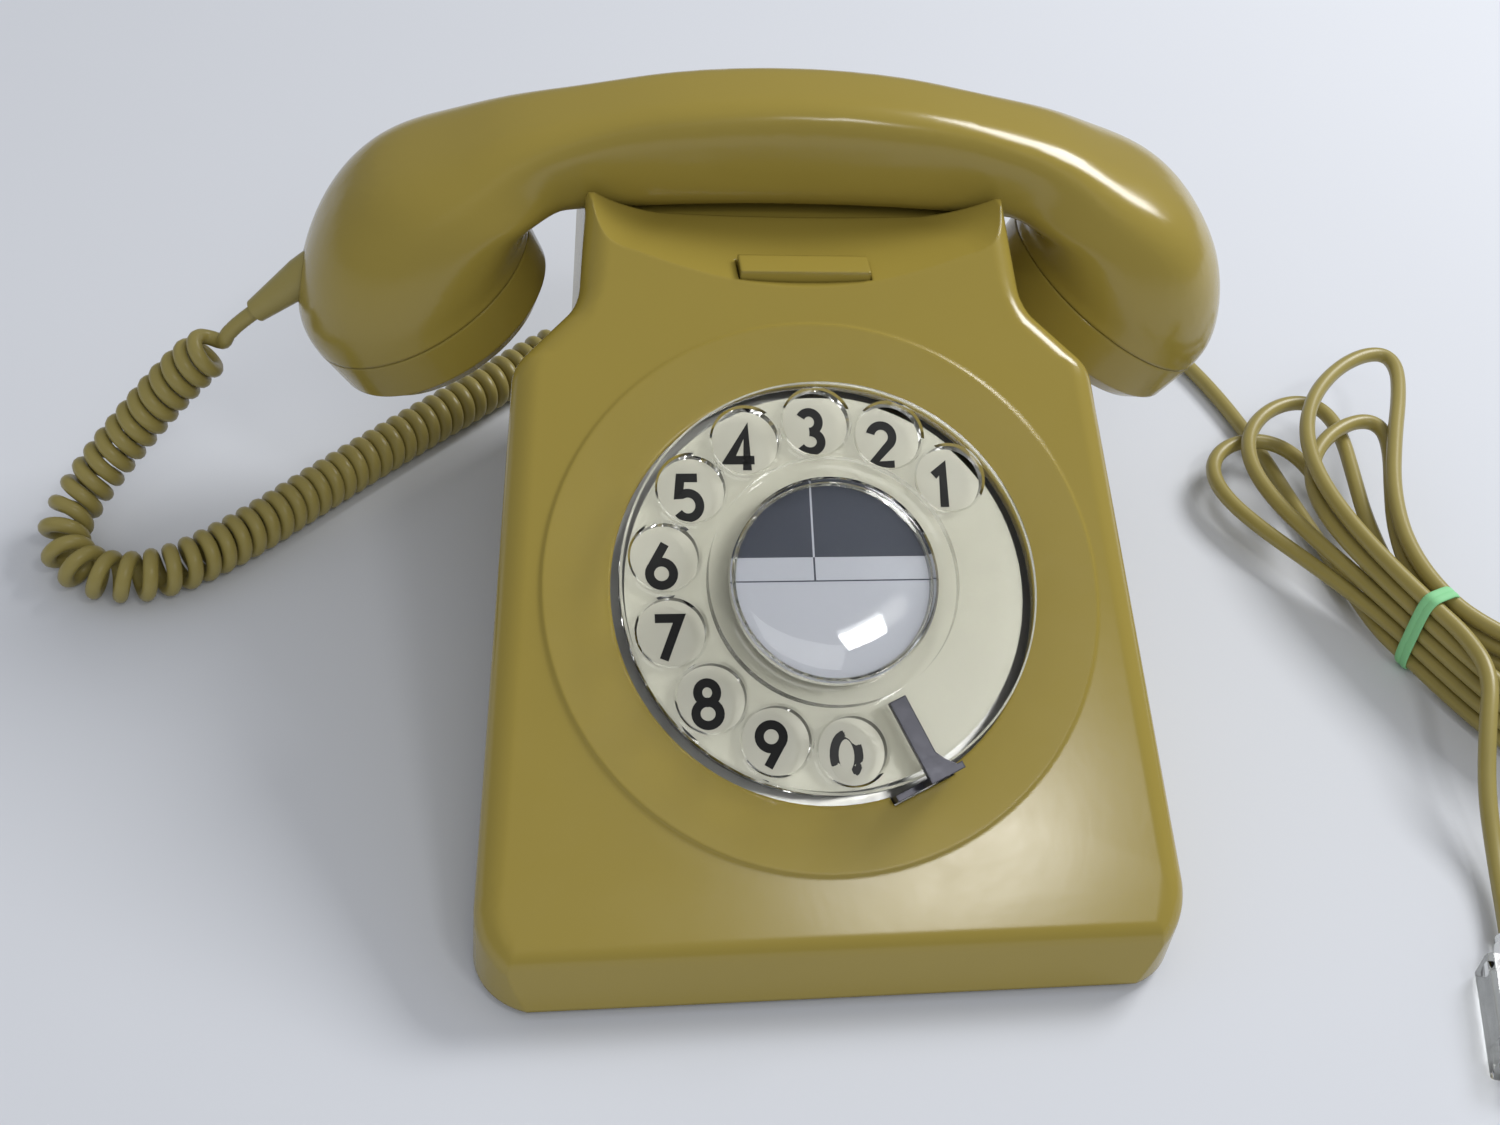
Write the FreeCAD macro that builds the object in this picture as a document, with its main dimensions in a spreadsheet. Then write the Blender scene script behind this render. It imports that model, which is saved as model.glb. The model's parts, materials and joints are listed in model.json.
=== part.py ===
"""Rotary table telephone: case, dial, cradle switch, bell, circuit, handset and cords.

Millimetres, +X to the right, +Y to the back, +Z up. The origin is on the table under the middle
of the telephone. The face leans back by face_tilt, and every dial piece is drawn lying flat about
the dial's own axis before it is laid on the face.
"""
import FreeCAD, Part
import bisect
import math
import os
import Sketcher
from FreeCAD import Placement, Rotation, Vector

SIZES = {
    # Case
    "case_depth": 196.0, "front_half_width": 76.0, "shoulder_half_width": 64.0, "shoulder_y": 15.0,
    "neck_half_width": 49.5, "neck_y": 27.0, "rear_half_width": 45.5, "waist_y": 64.0,
    "front_corner": 15.0, "shoulder_round": 9.0, "neck_round": 8.0, "rear_corner": 9.0,
    "wall": 2.8, "case_bottom": 2.5, "skirt_lean": 3.5, "edge_round": 6.0,
    "face_tilt": 32.5, "dial_y": -32.3, "dial_z": 56.0,
    "horn_top": 101.8, "horn_back": 47.0, "trough_front": 52.5, "trough_floor": 91.8,
    "trough_back": 76.0, "ridge_front": 78.5, "ridge_back": 84.5, "ridge_top": 99.0,
    "rear_bend": 28.0, "dish_floor": 92.6, "dish_front": 25.0, "dish_side": 44.0, "dish_rise": 7.5,
    "dish_lip_half": 54.0, "dish_flat": 28.0, "dish_back_rise": 0.3, "dish_top_half": 43.0,
    "dish_past": 12.0, "dish_back": 4.0,
    "boss_radius": 4.5, "boss_height": 9.5, "front_boss_x": 55.0, "front_boss_inset": 9.5,
    "rear_boss_x": 36.0, "rear_boss_inset": 6.0,
    # Base
    "plate_gap": 0.3, "plate_thick": 2.0, "foot_radius": 7.0, "foot_x": 56.0, "foot_inset": 28.0,
    "rear_foot_x": 34.0, "rear_foot_inset": 26.0, "foot_stud": 2.5,
    "screw_radius": 1.75, "screw_head": 3.4, "screw_head_thick": 1.7, "head_taper": 0.7,
    "screw_clearance": 0.1, "screw_loose": 0.4, "screw_length": 8.0, "screw_end_gap": 0.5,
    "slot_half": 0.4, "slot_deep": 0.7, "foot_taper": 0.8, "foot_fit": 0.05, "stud_proud": 0.8,
    "standoff_inset": 5.0, "gong_bore": 9.0,
    # Dial
    "ring_radius": 60.0, "aperture": 45.2, "ring_rise": 0.6, "ring_dip": 0.5, "plate_radius": 44.0,
    "finger_plate_low": 4.6, "finger_plate_thick": 3.2, "finger_hole": 7.15, "hole_rim": 0.5,
    "hole_circle": 35.0,
    "hole_pitch": 26.0, "first_hole": 40.0, "hub_outer": 26.2, "hub_inner": 21.8, "hub_top": 11.6,
    "label_thick": 0.6, "cover_rise": 2.4, "cover_taper": 2.5, "dial_gap": 0.3,
    "number_plate_radius": 42.5, "number_plate_thick": 1.2, "number_plate_low": -0.6,
    "frame_rim": 42.0, "frame_rim_wall": 2.0, "frame_low": -10.0, "frame_thick": 2.0,
    "frame_radius": 60.5, "dial_screw_circle": 56.5, "dial_boss": 3.2, "spindle": 3.0,
    "spindle_fit": 0.05, "gear_low": -16.0, "gear_thick": 2.4, "gear_module": 1.0,
    "main_teeth": 48.0, "pinion_teeth": 16.0, "wheel_teeth": 42.0, "governor_teeth": 14.0,
    "fine_module": 0.6, "back_plate_low": -30.0, "back_plate_thick": 1.6, "back_plate_radius": 40.0,
    "pillar_radius": 2.2, "pillar_circle": 30.0, "arbor": 1.5, "cup_radius": 9.5, "cup_deep": 8.0,
    "stop_inner": 27.6, "stop_width": 3.8, "stop_flare": 6.0, "stop_heel": 8.0, "stop_thick": 1.5,
    "stop_gap": 0.7, "stop_lift": 1.0, "stop_heel_top": 3.0, "stop_angle": -65.0,
    "drum_radius": 15.0, "drum_wall": 1.2, "drum_high": 9.0, "shaft_clear": 0.4, "plate_clear": 1.0,
    "bearing_wall": 3.0, "bearing_long": 8.0, "bearing_low": 1.0, "dial_screw_end": 1.5,
    "collar_step": 2.0, "collar_thick": 1.5, "gear_play": 0.1, "wheel_drop": 4.0, "pinion_over": 0.4,
    "gear_bore": 0.75, "sleeve": 1.5, "fly_half": 5.0, "fly_deep": 1.5, "fly_low": 4.0,
    "fly_thick": 2.0, "weight_radius": 2.2, "weight_high": 3.0, "cup_wall": 1.0,
    # Cradle switch and press bar
    "plunger_x": 16.0, "plunger_y": 63.5, "plunger_radius": 3.0, "plunger_proud": 1.6,
    "plunger_gap": 0.35, "yoke_low": 78.0, "yoke_thick": 3.0, "bracket_top": 70.2,
    "bracket_half": 31.0, "bracket_front": 28.0, "bracket_thick": 1.6, "leg_width": 12.0,
    "lever_pin": 1.5, "lever_pivot_y": 36.0, "lever_thick": 2.0, "lever_half": 4.0,
    "bar_half": 14.5, "bar_front": 27.4, "bar_deep": 6.4, "bar_proud": 2.4, "bar_gap": 0.4,
    "bar_flange": 2.0, "bar_travel": 2.0, "bar_reach": 4.0, "flange_thick": 1.6, "flange_gap": 0.3,
    "yoke_margin": 5.0, "yoke_half_deep": 4.0, "bracket_gap": 8.0, "leg_front": 4.0,
    "ear_gap": 0.5, "ear_thick": 1.8, "ear_half": 3.0, "pin_proud": 0.3, "lever_gap": 0.3,
    "lever_past": 2.0, "lever_eye": 1.3, "stack_x": 17.0, "stack_half": 4.0, "stack_inset": 12.0,
    "stack_deep": 8.0, "stack_base": 2.0, "stack_margin": 1.0, "leaf_half": 3.0, "leaf_thick": 0.4,
    "leaf_pitch": 1.6, "leaf_back": 4.5, "leaf_step": 1.0, "post_x": -19.0, "post_half": 5.0,
    "post_deep": 8.0, "bar_leaf_end": 4.0, "bar_leaf_thick": 0.5,
    # Joins: how far joined blocks reach into each other, how far a cut starts outside, a tight fit,
    # and the length of a cut that goes right through a wall
    "bite": 0.2, "overcut": 0.1, "press_fit": 0.02, "through": 20.0,
    # Bell
    "gong_x": 22.0, "gong_inset": 28.0, "gong_radius": 18.0, "gong_high": 13.0, "gong_wall": 1.4,
    "gong_skirt": 7.15, "gong_crown": 9.9, "gong_screw": 8.0, "pivot_step": 1.2, "core_proud": 0.6,
    "bobbin_flange": 1.0, "winding_step": 0.8, "rod_inset": 4.0,
    "gong_top": 36.0, "gong_post": 3.0, "bell_reach": 30.0, "yoke_half": 22.0, "coil_x": 12.0,
    "coil_radius": 8.0, "coil_high": 21.0, "core_radius": 3.0, "pivot": 2.0, "armature_thick": 2.0,
    "clapper": 2.2, "clapper_rod": 0.8, "armature_half": 18.0, "armature_deep": 10.0, "yoke_deep": 18.0,
    "yoke_thickness": 2.0, "air_gap": 1.5,
    # Circuit
    "board_z": 12.0, "board_thick": 1.6, "board_half": 44.0, "board_front": -18.0,
    "board_back": 20.0, "standoff": 3.0, "coil_box": 28.0, "coil_box_deep": 22.0,
    "coil_box_high": 18.0, "capacitor": 8.0, "capacitor_long": 34.0, "block_long": 30.0,
    "block_deep": 14.0, "block_high": 10.0, "terminal": 2.4, "terminal_head": 1.2,
    "terminal_shank": 1.44, "terminal_deep": 5.0, "coil_box_x": -40.0, "coil_box_y": -6.0,
    "winding_inset": 3.0, "winding_proud": 2.0, "capacitor_x": 3.0, "capacitor_y": -14.0,
    "block_x": 12.0, "block_y": -4.0,
    # Handset
    "handset_y": 62.7, "seam_x": 84.0, "seam_z": 67.0, "cap_tilt": 30.0, "bulb_radius": 29.0,
    "grip_top": 120.5, "grip_bottom": 94.0, "grip_width": 25.0, "cap_high": 14.0, "cap_face": 24.5,
    "neck_radius": 25.5, "neck_high": 7.0, "cavity_radius": 22.6, "cavity_deep": 7.0,
    "cap_wall": 2.6, "cap_gap": 0.2, "capsule_gap": 0.3, "capsule_flange": 1.8, "sound_hole": 1.6,
    "boot_radius": 4.6, "boot_long": 15.0, "boot_end": 2.9,
    # Cords
    "curl_wire": 3.7, "curl_radius": 4.4, "curl_pitch": 4.25, "line_radius": 2.05,
    "bush_x": 28.0, "bush_z": 12.0, "bush_radius": 4.2, "bush_flange": 6.2, "bush_long": 9.0,
    "bush_fit": 0.1, "hank_step": 4.6, "hank_lift": 1.45, "band_wide": 6.0, "band_thick": 1.0,
    "plug_long": 34.0, "plug_wide": 15.0, "plug_high": 9.0, "plug_sleeve": 8.0, "plug_wall": 2.0,
}

doc = FreeCAD.newDocument("Telephone")
sheet = doc.addObject("Spreadsheet::Sheet", "Sizes")
for row, (alias, number) in enumerate(SIZES.items(), 1):
    sheet.set(f"A{row}", str(number))
    sheet.setAlias(f"A{row}", alias)
doc.recompute()


# Counts, and angles on the dial in degrees from +X
FINGER_HOLES = 10
LEAVES = 4
TERMINALS = 5
DIAL_SCREWS = (30.0, 150.0, 270.0)
PILLARS = (100.0, 200.0, 290.0)
GOVERNOR_SIDE = 250.0

# How far the arc of the dish's side has gone across and up at its middle point
SWEEP = (0.62, 0.42)


class Measure:
    """A length with the formula that ties it to the sheet."""

    def __init__(self, value, text):
        self.value = value
        self.text = text

    def __add__(self, other):
        other = measure(other)
        return Measure(self.value + other.value, f"({self.text} + {other.text})")

    def __sub__(self, other):
        other = measure(other)
        return Measure(self.value - other.value, f"({self.text} - {other.text})")

    def __mul__(self, other):
        other = measure(other)
        return Measure(self.value * other.value, f"({self.text} * {other.text})")

    def __truediv__(self, other):
        other = measure(other)
        return Measure(self.value / other.value, f"({self.text} / {other.text})")

    def __rsub__(self, other):
        return measure(other) - self

    def __neg__(self):
        return measure(0.0) - self

    __radd__ = __add__
    __rmul__ = __mul__


def measure(thing):
    if isinstance(thing, Measure):
        return thing
    return Measure(float(thing), repr(float(thing)))


def cosine(angle):
    return Measure(math.cos(math.radians(angle.value)), f"cos({angle.text})")


def sine(angle):
    return Measure(math.sin(math.radians(angle.value)), f"sin({angle.text})")


def tangent(angle):
    return sine(angle) / cosine(angle)


class Sizes:
    """Each size of the sheet as a measure."""


s = Sizes()
for alias in SIZES:
    setattr(s, alias, Measure(float(sheet.get(alias)), "Sizes." + alias))

UPRIGHT = Rotation()
ALONG_X = Rotation(Vector(0, 1, 0), 90)
ALONG_Y = Rotation(Vector(1, 0, 0), -90)
HIGH = 130.0
nodes = []
made = {"count": 0}


def tie(thing, name, length):
    thing.setExpression(name, measure(length).text)


def put(thing, x, y, z, turn=UPRIGHT):
    thing.Placement = Placement(Vector(), turn)
    for axis, place in zip("xyz", (x, y, z)):
        tie(thing, "Placement.Base." + axis, place)
    return thing


def new(kind, name):
    made["count"] += 1
    return doc.addObject(kind, f"{name}{made['count']}")


def cylinder(radius, height, x=0, y=0, z=0, turn=UPRIGHT):
    thing = new("Part::Cylinder", "Round")
    tie(thing, "Radius", radius)
    tie(thing, "Height", height)
    return put(thing, x, y, z, turn)


def cone(low, top, height, x=0, y=0, z=0, turn=UPRIGHT):
    thing = new("Part::Cone", "Taper")
    tie(thing, "Radius1", low)
    tie(thing, "Radius2", top)
    tie(thing, "Height", height)
    return put(thing, x, y, z, turn)


def ball(radius, x, y, z):
    thing = new("Part::Sphere", "Ball")
    tie(thing, "Radius", radius)
    return put(thing, x, y, z)


def block(x0, x1, y0, y1, z0, z1):
    """Box between two corners."""
    thing = new("Part::Box", "Block")
    for name, low, high in (("Length", x0, x1), ("Width", y0, y1), ("Height", z0, z1)):
        tie(thing, name, measure(high) - low)
    return put(thing, x0, y0, z0)


def fuse(*things):
    if len(things) == 1:
        return things[0]
    thing = new("Part::MultiFuse", "Joined")
    thing.Shapes = list(things)
    return thing


def cut(base, *tools):
    thing = new("Part::Cut", "Cut")
    thing.Base = base
    thing.Tool = fuse(*tools)
    return thing


def group(*things):
    thing = new("Part::Compound", "Set")
    thing.Links = list(things)
    return thing


def coded(shape):
    thing = new("Part::Feature", "Form")
    thing.Shape = shape
    return thing


def node(thing, label):
    thing.Label = label
    nodes.append(thing)
    return thing


def lay_on_dial(thing):
    """Lean a piece drawn flat about the dial's axis onto the face."""
    thing.Placement = Placement(Vector(), Rotation(Vector(1, 0, 0), s.face_tilt.value))
    tie(thing, "Placement.Base.y", s.dial_y)
    tie(thing, "Placement.Base.z", s.dial_z)
    tie(thing, "Placement.Rotation.Angle", s.face_tilt)
    return thing


def dial_node(thing, label):
    return node(lay_on_dial(group(thing)), label)


def outline(body, name, plane, points):
    """Closed outline of straight sides, with each corner tied to the sheet."""
    sketch = body.newObject("Sketcher::SketchObject", name)
    support = [item for item in body.Origin.OriginFeatures if item.Role == plane]
    sketch.AttachmentSupport = [(support[0], "")]
    sketch.MapMode = "FlatFace"
    corners = [(measure(x), measure(y)) for x, y in points]
    count = len(corners)
    for index in range(count):
        start = corners[index]
        end = corners[(index + 1) % count]
        sketch.addGeometry(Part.LineSegment(Vector(start[0].value, start[1].value, 0),
                                            Vector(end[0].value, end[1].value, 0)))
    for index in range(count):
        sketch.addConstraint(Sketcher.Constraint("Coincident", index, 2, (index + 1) % count, 1))
    for index, corner in enumerate(corners):
        for kind, place in zip(("DistanceX", "DistanceY"), corner):
            number = sketch.addConstraint(Sketcher.Constraint(kind, -1, 1, index, 1, place.value))
            tie(sketch, f"Constraints[{number}]", place)
    return sketch


def round_edges(body, name, radius, wanted):
    """Round the edges of a body that wanted(edge, shape) picks."""
    doc.recompute()
    base = body.Tip
    names = [f"Edge{i}" for i, edge in enumerate(base.Shape.Edges, 1) if wanted(edge, base.Shape)]
    fillet = body.newObject("PartDesign::Fillet", name)
    fillet.Base = (base, names)
    tie(fillet, "Radius", radius)
    return fillet


def upright_at(x, y):
    """Pick the upright edges at plus and minus x."""
    def wanted(edge, shape):
        low, high = edge.BoundBox.ZMin, edge.BoundBox.ZMax
        middle = edge.CenterOfMass
        near = abs(abs(middle.x) - x.value) < 0.5 and abs(middle.y - y.value) < 0.5
        return near and high - low > 1.0
    return wanted


def face_height(y, inset):
    """Height of the leaning face at y, with the wall taken off where inset is given."""
    return s.dial_z - inset / cosine(s.face_tilt) + (y - s.dial_y) * tangent(s.face_tilt)


def plan_body(name, inset, front, length):
    """Plan of the case drawn in by inset, its front edge moved back, padded with rounded corners."""
    half = s.case_depth / 2
    body = doc.addObject("PartDesign::Body", name)
    right = [(s.front_half_width - inset, inset - half + front),
             (s.shoulder_half_width - inset, s.shoulder_y - inset),
             (s.neck_half_width - inset, s.neck_y - inset),
             (s.rear_half_width - inset, s.waist_y),
             (s.rear_half_width - inset, half - inset)]
    plan = outline(body, name + "Plan", "XY_Plane", right + [(-x, y) for x, y in reversed(right)])
    pad = body.newObject("PartDesign::Pad", name + "Pad")
    pad.Profile = plan
    tie(pad, "Length", length)
    corners = ((right[0], s.front_corner - inset), (right[1], s.shoulder_round - inset),
               (right[2], s.neck_round + inset), (right[4], s.rear_corner - inset))
    for index, ((x, y), radius) in enumerate(corners):
        round_edges(body, f"{name}Corner{index}", radius, upright_at(x, y))
    return body


def case_form(name, inset, roof):
    """Plan of the case padded upwards, cut to its side outline: inset 0 outside, wall inside."""
    inset = measure(inset)
    half = s.case_depth / 2
    body = plan_body(name, inset, measure(0.0), measure(HIGH))
    crease_y = inset - half + s.skirt_lean
    sky = [(half + 20.0, -1.0), (half + 20.0, HIGH + 5.0), (-half - 20.0, HIGH + 5.0),
           (-half - 20.0, -1.0), (inset - half, -1.0), (crease_y, face_height(crease_y, inset))]
    side = outline(body, name + "Side", "YZ_Plane", sky + roof + [(half - inset, s.rear_bend),
                                                                  (half - inset, -1.0)])
    pocket = body.newObject("PartDesign::Pocket", name + "Sides")
    pocket.Profile = side
    pocket.Type = "ThroughAll"
    pocket.SideType = "Symmetric"
    doc.recompute()
    return body


def top_edge(edge, shape):
    """Pick the edges where the leaning face meets the upright walls."""
    faces = shape.ancestorsOfType(edge, Part.Face)
    if len(faces) != 2:
        return False
    tops = []
    for face in faces:
        u0, u1, v0, v1 = face.ParameterRange
        tops.append(face.normalAt((u0 + u1) / 2, (v0 + v1) / 2).z)
    lean = math.cos(math.radians(s.face_tilt.value))
    return min(abs(top) for top in tops) < 0.01 and abs(max(tops) - lean) < 0.02


def crease_edge(edge, shape):
    """Pick the long edge where the front skirt turns into the leaning face."""
    crease_y = s.skirt_lean.value - s.case_depth.value / 2
    return abs(edge.CenterOfMass.y - crease_y) < 0.5 and edge.BoundBox.XLength > s.front_half_width.value


def arc_wire(points, y):
    """Closed wire in the plane at y: three arcs along the bottom, straight up and across."""
    place = [Vector(x, y, z) for x, z in points]
    edges = [Part.Arc(place[0], place[1], place[2]).toShape(),
             Part.Arc(place[2], place[3], place[4]).toShape(),
             Part.Arc(place[4], place[5], place[6]).toShape(),
             Part.LineSegment(place[6], place[7]).toShape(),
             Part.LineSegment(place[7], place[8]).toShape(),
             Part.LineSegment(place[8], place[0]).toShape()]
    return Part.Wire(edges)


def dish_shape():
    """Scoop between the horns: a wide arc at the front lip, and a flat floor with swept sides behind."""
    floor = s.dish_floor.value
    horn = s.horn_top.value
    roof = horn + s.through.value
    front = s.dish_front.value - s.dish_past.value
    back = s.trough_front.value + s.dish_back.value
    wires = []
    for y, side, rise, top in ((front, s.dish_side.value, s.dish_rise.value, s.dish_lip_half.value),
                               (back, s.dish_flat.value, s.dish_back_rise.value, s.dish_top_half.value)):
        low = floor + rise
        sag = (side + (top - side) * SWEEP[0], low + (horn - low) * SWEEP[1])
        right = [(side, low), sag, (top, horn)]
        left = [(-x, z) for x, z in reversed(right)]
        points = left + [(0.0, floor)] + right + [(top, roof), (-top, roof)]
        wires.append(arc_wire(points, y))
    return Part.makeLoft(wires, True, True)


def make_case():
    half = s.case_depth / 2
    horn_front = s.dial_y + (s.horn_top - s.dial_z) / tangent(s.face_tilt)
    outer = case_form("CaseOuter", 0,
                      [(horn_front, s.horn_top), (s.horn_back, s.horn_top),
                       (s.trough_front, s.trough_floor), (s.trough_back, s.trough_floor),
                       (s.ridge_front, s.ridge_top), (s.ridge_back, s.ridge_top)])
    round_edges(outer, "CaseEdges", s.edge_round,
                lambda edge, shape: top_edge(edge, shape) or crease_edge(edge, shape))
    ceiling = s.trough_floor - s.wall
    roof_front = s.dial_y + (ceiling - s.dial_z + s.wall / cosine(s.face_tilt)) / tangent(s.face_tilt)
    lean = (half - s.ridge_back) / (s.ridge_top - s.rear_bend)
    core = case_form("CaseCore", s.wall,
                     [(roof_front, ceiling), (half - s.wall - lean * (ceiling - s.rear_bend), ceiling)])
    shell = cut(outer, core, block(-HIGH, HIGH, -HIGH, HIGH, -1.0, s.case_bottom))
    plate_top = s.case_bottom + s.plate_thick
    bosses = []
    holes = []
    for x, y in boss_places():
        bosses.append(cylinder(s.boss_radius, s.boss_height, x, y, plate_top))
        holes.append(cylinder(s.screw_radius + s.screw_clearance, s.screw_length, x, y, 0))
    ring_low = s.wall / 2
    dial_bosses = [cylinder(s.ring_radius, ring_low, 0, 0, -ring_low),
                   cone(s.ring_radius, s.ring_radius - s.ring_rise, s.ring_rise)]
    dial_holes = [cylinder(s.aperture, s.through * 2, 0, 0, -s.through), stop_slot(),
                  cone(s.aperture, s.ring_radius - s.ring_rise, s.ring_rise + s.ring_dip, 0, 0, -s.ring_dip)]
    boss_low = s.frame_low + s.frame_thick
    boss_long = -boss_low - s.wall
    for angle in DIAL_SCREWS:
        x, y = on_circle(s.dial_screw_circle, angle)
        dial_bosses.append(cylinder(s.dial_boss, boss_long + s.ring_rise, x, y, boss_low))
        dial_holes.append(cylinder(s.screw_radius + s.screw_clearance, boss_long, x, y,
                                   boss_low - s.plate_clear))
    slots = [block(-(s.bar_half + s.bar_gap), s.bar_half + s.bar_gap, s.bar_front - s.bar_gap,
                   s.bar_front + s.bar_deep + s.bar_gap, s.dish_floor - s.through,
                   s.dish_floor + s.through)]
    for x in (-s.plunger_x, s.plunger_x):
        slots.append(cylinder(s.plunger_radius + s.plunger_gap, s.through * 2, x, s.plunger_y,
                              s.trough_floor - s.through))
        slots.append(cylinder(s.bush_radius + s.bush_fit, s.through, s.bush_x * (1 if x.value > 0 else -1),
                              half - s.through / 2, s.bush_z, ALONG_Y))
    solid = fuse(shell, *bosses, lay_on_dial(fuse(*dial_bosses)))
    node(cut(solid, *holes, *slots, lay_on_dial(fuse(*dial_holes)), coded(dish_shape())), "case_shell")


def from_ends(front_x, front_inset, rear_x, rear_inset):
    """Four places: a pair set in from the front end of the case and a pair from its rear end."""
    half = s.case_depth / 2
    front = front_inset - half
    rear = half - rear_inset
    return [(front_x, front), (-front_x, front), (rear_x, rear), (-rear_x, rear)]


def boss_places():
    return from_ends(s.front_boss_x, s.front_boss_inset, s.rear_boss_x, s.rear_boss_inset)


def foot_places():
    return from_ends(s.foot_x, s.foot_inset, s.rear_foot_x, s.rear_foot_inset)


def yoke_y():
    """Place of the bell's yoke, in front of the gongs by the reach of the clapper."""
    return gong_y() - s.bell_reach


def gong_y():
    return s.case_depth / 2 - s.gong_inset


def make_base():
    inset = s.wall + s.plate_gap
    body = plan_body("BasePlate", inset, s.skirt_lean / 2, s.plate_thick)
    tie(body, "Placement.Base.z", s.case_bottom)
    top = s.case_bottom + s.plate_thick
    posts = []
    root = top - s.bite
    post_x = s.board_half - s.standoff_inset
    for x in (post_x, -post_x):
        for y in (s.board_front + s.standoff_inset, s.board_back - s.standoff_inset):
            posts.append(cylinder(s.standoff, s.board_z - root, x, y, root))
    for x in (s.gong_x, -s.gong_x):
        posts.append(cylinder(s.gong_post, s.gong_top - s.gong_wall - root, x, gong_y(), root))
    holes = []
    for x, y in boss_places():
        holes.append(cylinder(s.screw_radius + s.screw_loose, s.through, x, y, 0))
    for x, y in foot_places():
        holes.append(cylinder(s.foot_stud, s.through, x, y, 0))
    for x in (s.gong_x, -s.gong_x):
        holes.append(cylinder(s.screw_radius, s.gong_bore, x, gong_y(), s.gong_top - s.gong_bore))
    node(cut(fuse(body, *posts), *holes), "base_plate")
    feet = []
    for x, y in foot_places():
        feet.append(fuse(cone(s.foot_radius - s.foot_taper, s.foot_radius, s.case_bottom, x, y, 0),
                         cylinder(s.foot_stud - s.foot_fit, s.bite + s.plate_thick + s.stud_proud, x, y,
                                  s.case_bottom - s.bite)))
    node(group(*feet), "rubber_feet")
    screws = []
    for x, y in boss_places():
        screws.append(screw(x, y, s.case_bottom, s.screw_length - s.case_bottom - s.screw_end_gap))
    node(group(*screws), "case_screws")


def screw(x, y, seat, length):
    """Round-headed screw whose head lies under its seat and whose shank points up."""
    low = measure(seat) - s.screw_head_thick
    head = cone(s.screw_head - s.head_taper, s.screw_head, s.screw_head_thick, x, y, low)
    shank = cylinder(s.screw_radius, length, x, y, seat)
    slot = block(x - s.screw_head, x + s.screw_head, measure(y) - s.slot_half, measure(y) + s.slot_half,
                 low, low + s.slot_deep)
    return cut(fuse(head, shank), slot)


def gear(teeth, module, thick, bore):
    """Spur gear with straight-sided teeth, thinned for backlash."""
    count = int(round(teeth.value))
    pitch = count * module.value / 2
    points = []
    for tooth in range(count):
        middle = 2 * math.pi * tooth / count
        for radius, half in ((pitch - 1.15 * module.value, 0.98), (pitch + 0.75 * module.value, 0.36)):
            points.append((radius, middle - half * module.value / radius))
        for radius, half in ((pitch + 0.75 * module.value, 0.36), (pitch - 1.15 * module.value, 0.98)):
            points.append((radius, middle + half * module.value / radius))
    corners = [Vector(radius * math.cos(a), radius * math.sin(a), 0) for radius, a in points]
    face = Part.Face(Part.makePolygon(corners + corners[:1]))
    return face.extrude(Vector(0, 0, thick.value)).cut(Part.makeCylinder(bore.value, thick.value))


def coded_at(shape, x, y, z, angle=0.0):
    thing = coded(shape)
    thing.Placement = Placement(Vector(), Rotation(Vector(0, 0, 1), angle))
    for axis, place in zip("xyz", (x, y, z)):
        tie(thing, "Placement.Base." + axis, place)
    return thing


def on_circle(radius, angle):
    turn = math.radians(angle)
    return radius * math.cos(turn), radius * math.sin(turn)


def make_dial():
    plate_top = s.finger_plate_low + s.finger_plate_thick
    plate = fuse(cylinder(s.plate_radius, s.finger_plate_thick - s.hole_rim, 0, 0, s.finger_plate_low),
                 cone(s.plate_radius, s.plate_radius - s.hole_rim, s.hole_rim, 0, 0, plate_top - s.hole_rim))
    hub = cylinder(s.hub_outer, s.hub_top - s.finger_plate_low, 0, 0, s.finger_plate_low)
    holes = [cylinder(s.hub_inner, s.through, 0, 0, plate_top), cylinder(s.spindle, s.through, 0, 0, 0)]
    for index in range(FINGER_HOLES):
        x, y = on_circle(s.hole_circle, s.first_hole.value + s.hole_pitch.value * index)
        holes.append(cylinder(s.finger_hole, s.hub_top, x, y, 0))
        holes.append(cone(s.finger_hole, s.finger_hole + s.hole_rim, s.hole_rim, x, y,
                          plate_top - s.hole_rim))
    dial_node(cut(fuse(plate, hub), *holes), "finger_plate")
    inside = s.hub_inner - s.dial_gap
    dial_node(cylinder(inside, s.label_thick, 0, 0, plate_top), "dial_label")
    cover = cone(inside, inside - s.cover_taper, s.hub_top - plate_top - s.label_thick + s.cover_rise, 0, 0,
                 plate_top + s.label_thick)
    dial_node(cover, "label_cover")
    dial_node(cut(cylinder(s.number_plate_radius, s.number_plate_thick, 0, 0, s.number_plate_low),
                  cylinder(s.spindle + s.plate_clear, s.through, 0, 0, s.number_plate_low - s.bite)),
              "number_plate")
    make_dial_frame()
    make_gears()
    dial_node(at_stop(stop_shape()), "finger_stop")


def at_stop(thing):
    """Turn a piece drawn along +X to the finger stop's place on the dial."""
    thing.Placement = Placement(Vector(), Rotation(Vector(0, 0, 1), s.stop_angle.value))
    tie(thing, "Placement.Rotation.Angle", s.stop_angle)
    return thing


def stop_slot():
    """Slot in the ring that the finger stop's heel goes down through."""
    inner = s.plate_radius
    outer = s.plate_radius + s.stop_gap + s.stop_thick + s.dial_gap
    slot = block(inner, outer, -s.stop_heel - s.dial_gap, s.stop_flare + s.dial_gap, -s.through,
                 s.through)
    return at_stop(group(slot))


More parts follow.
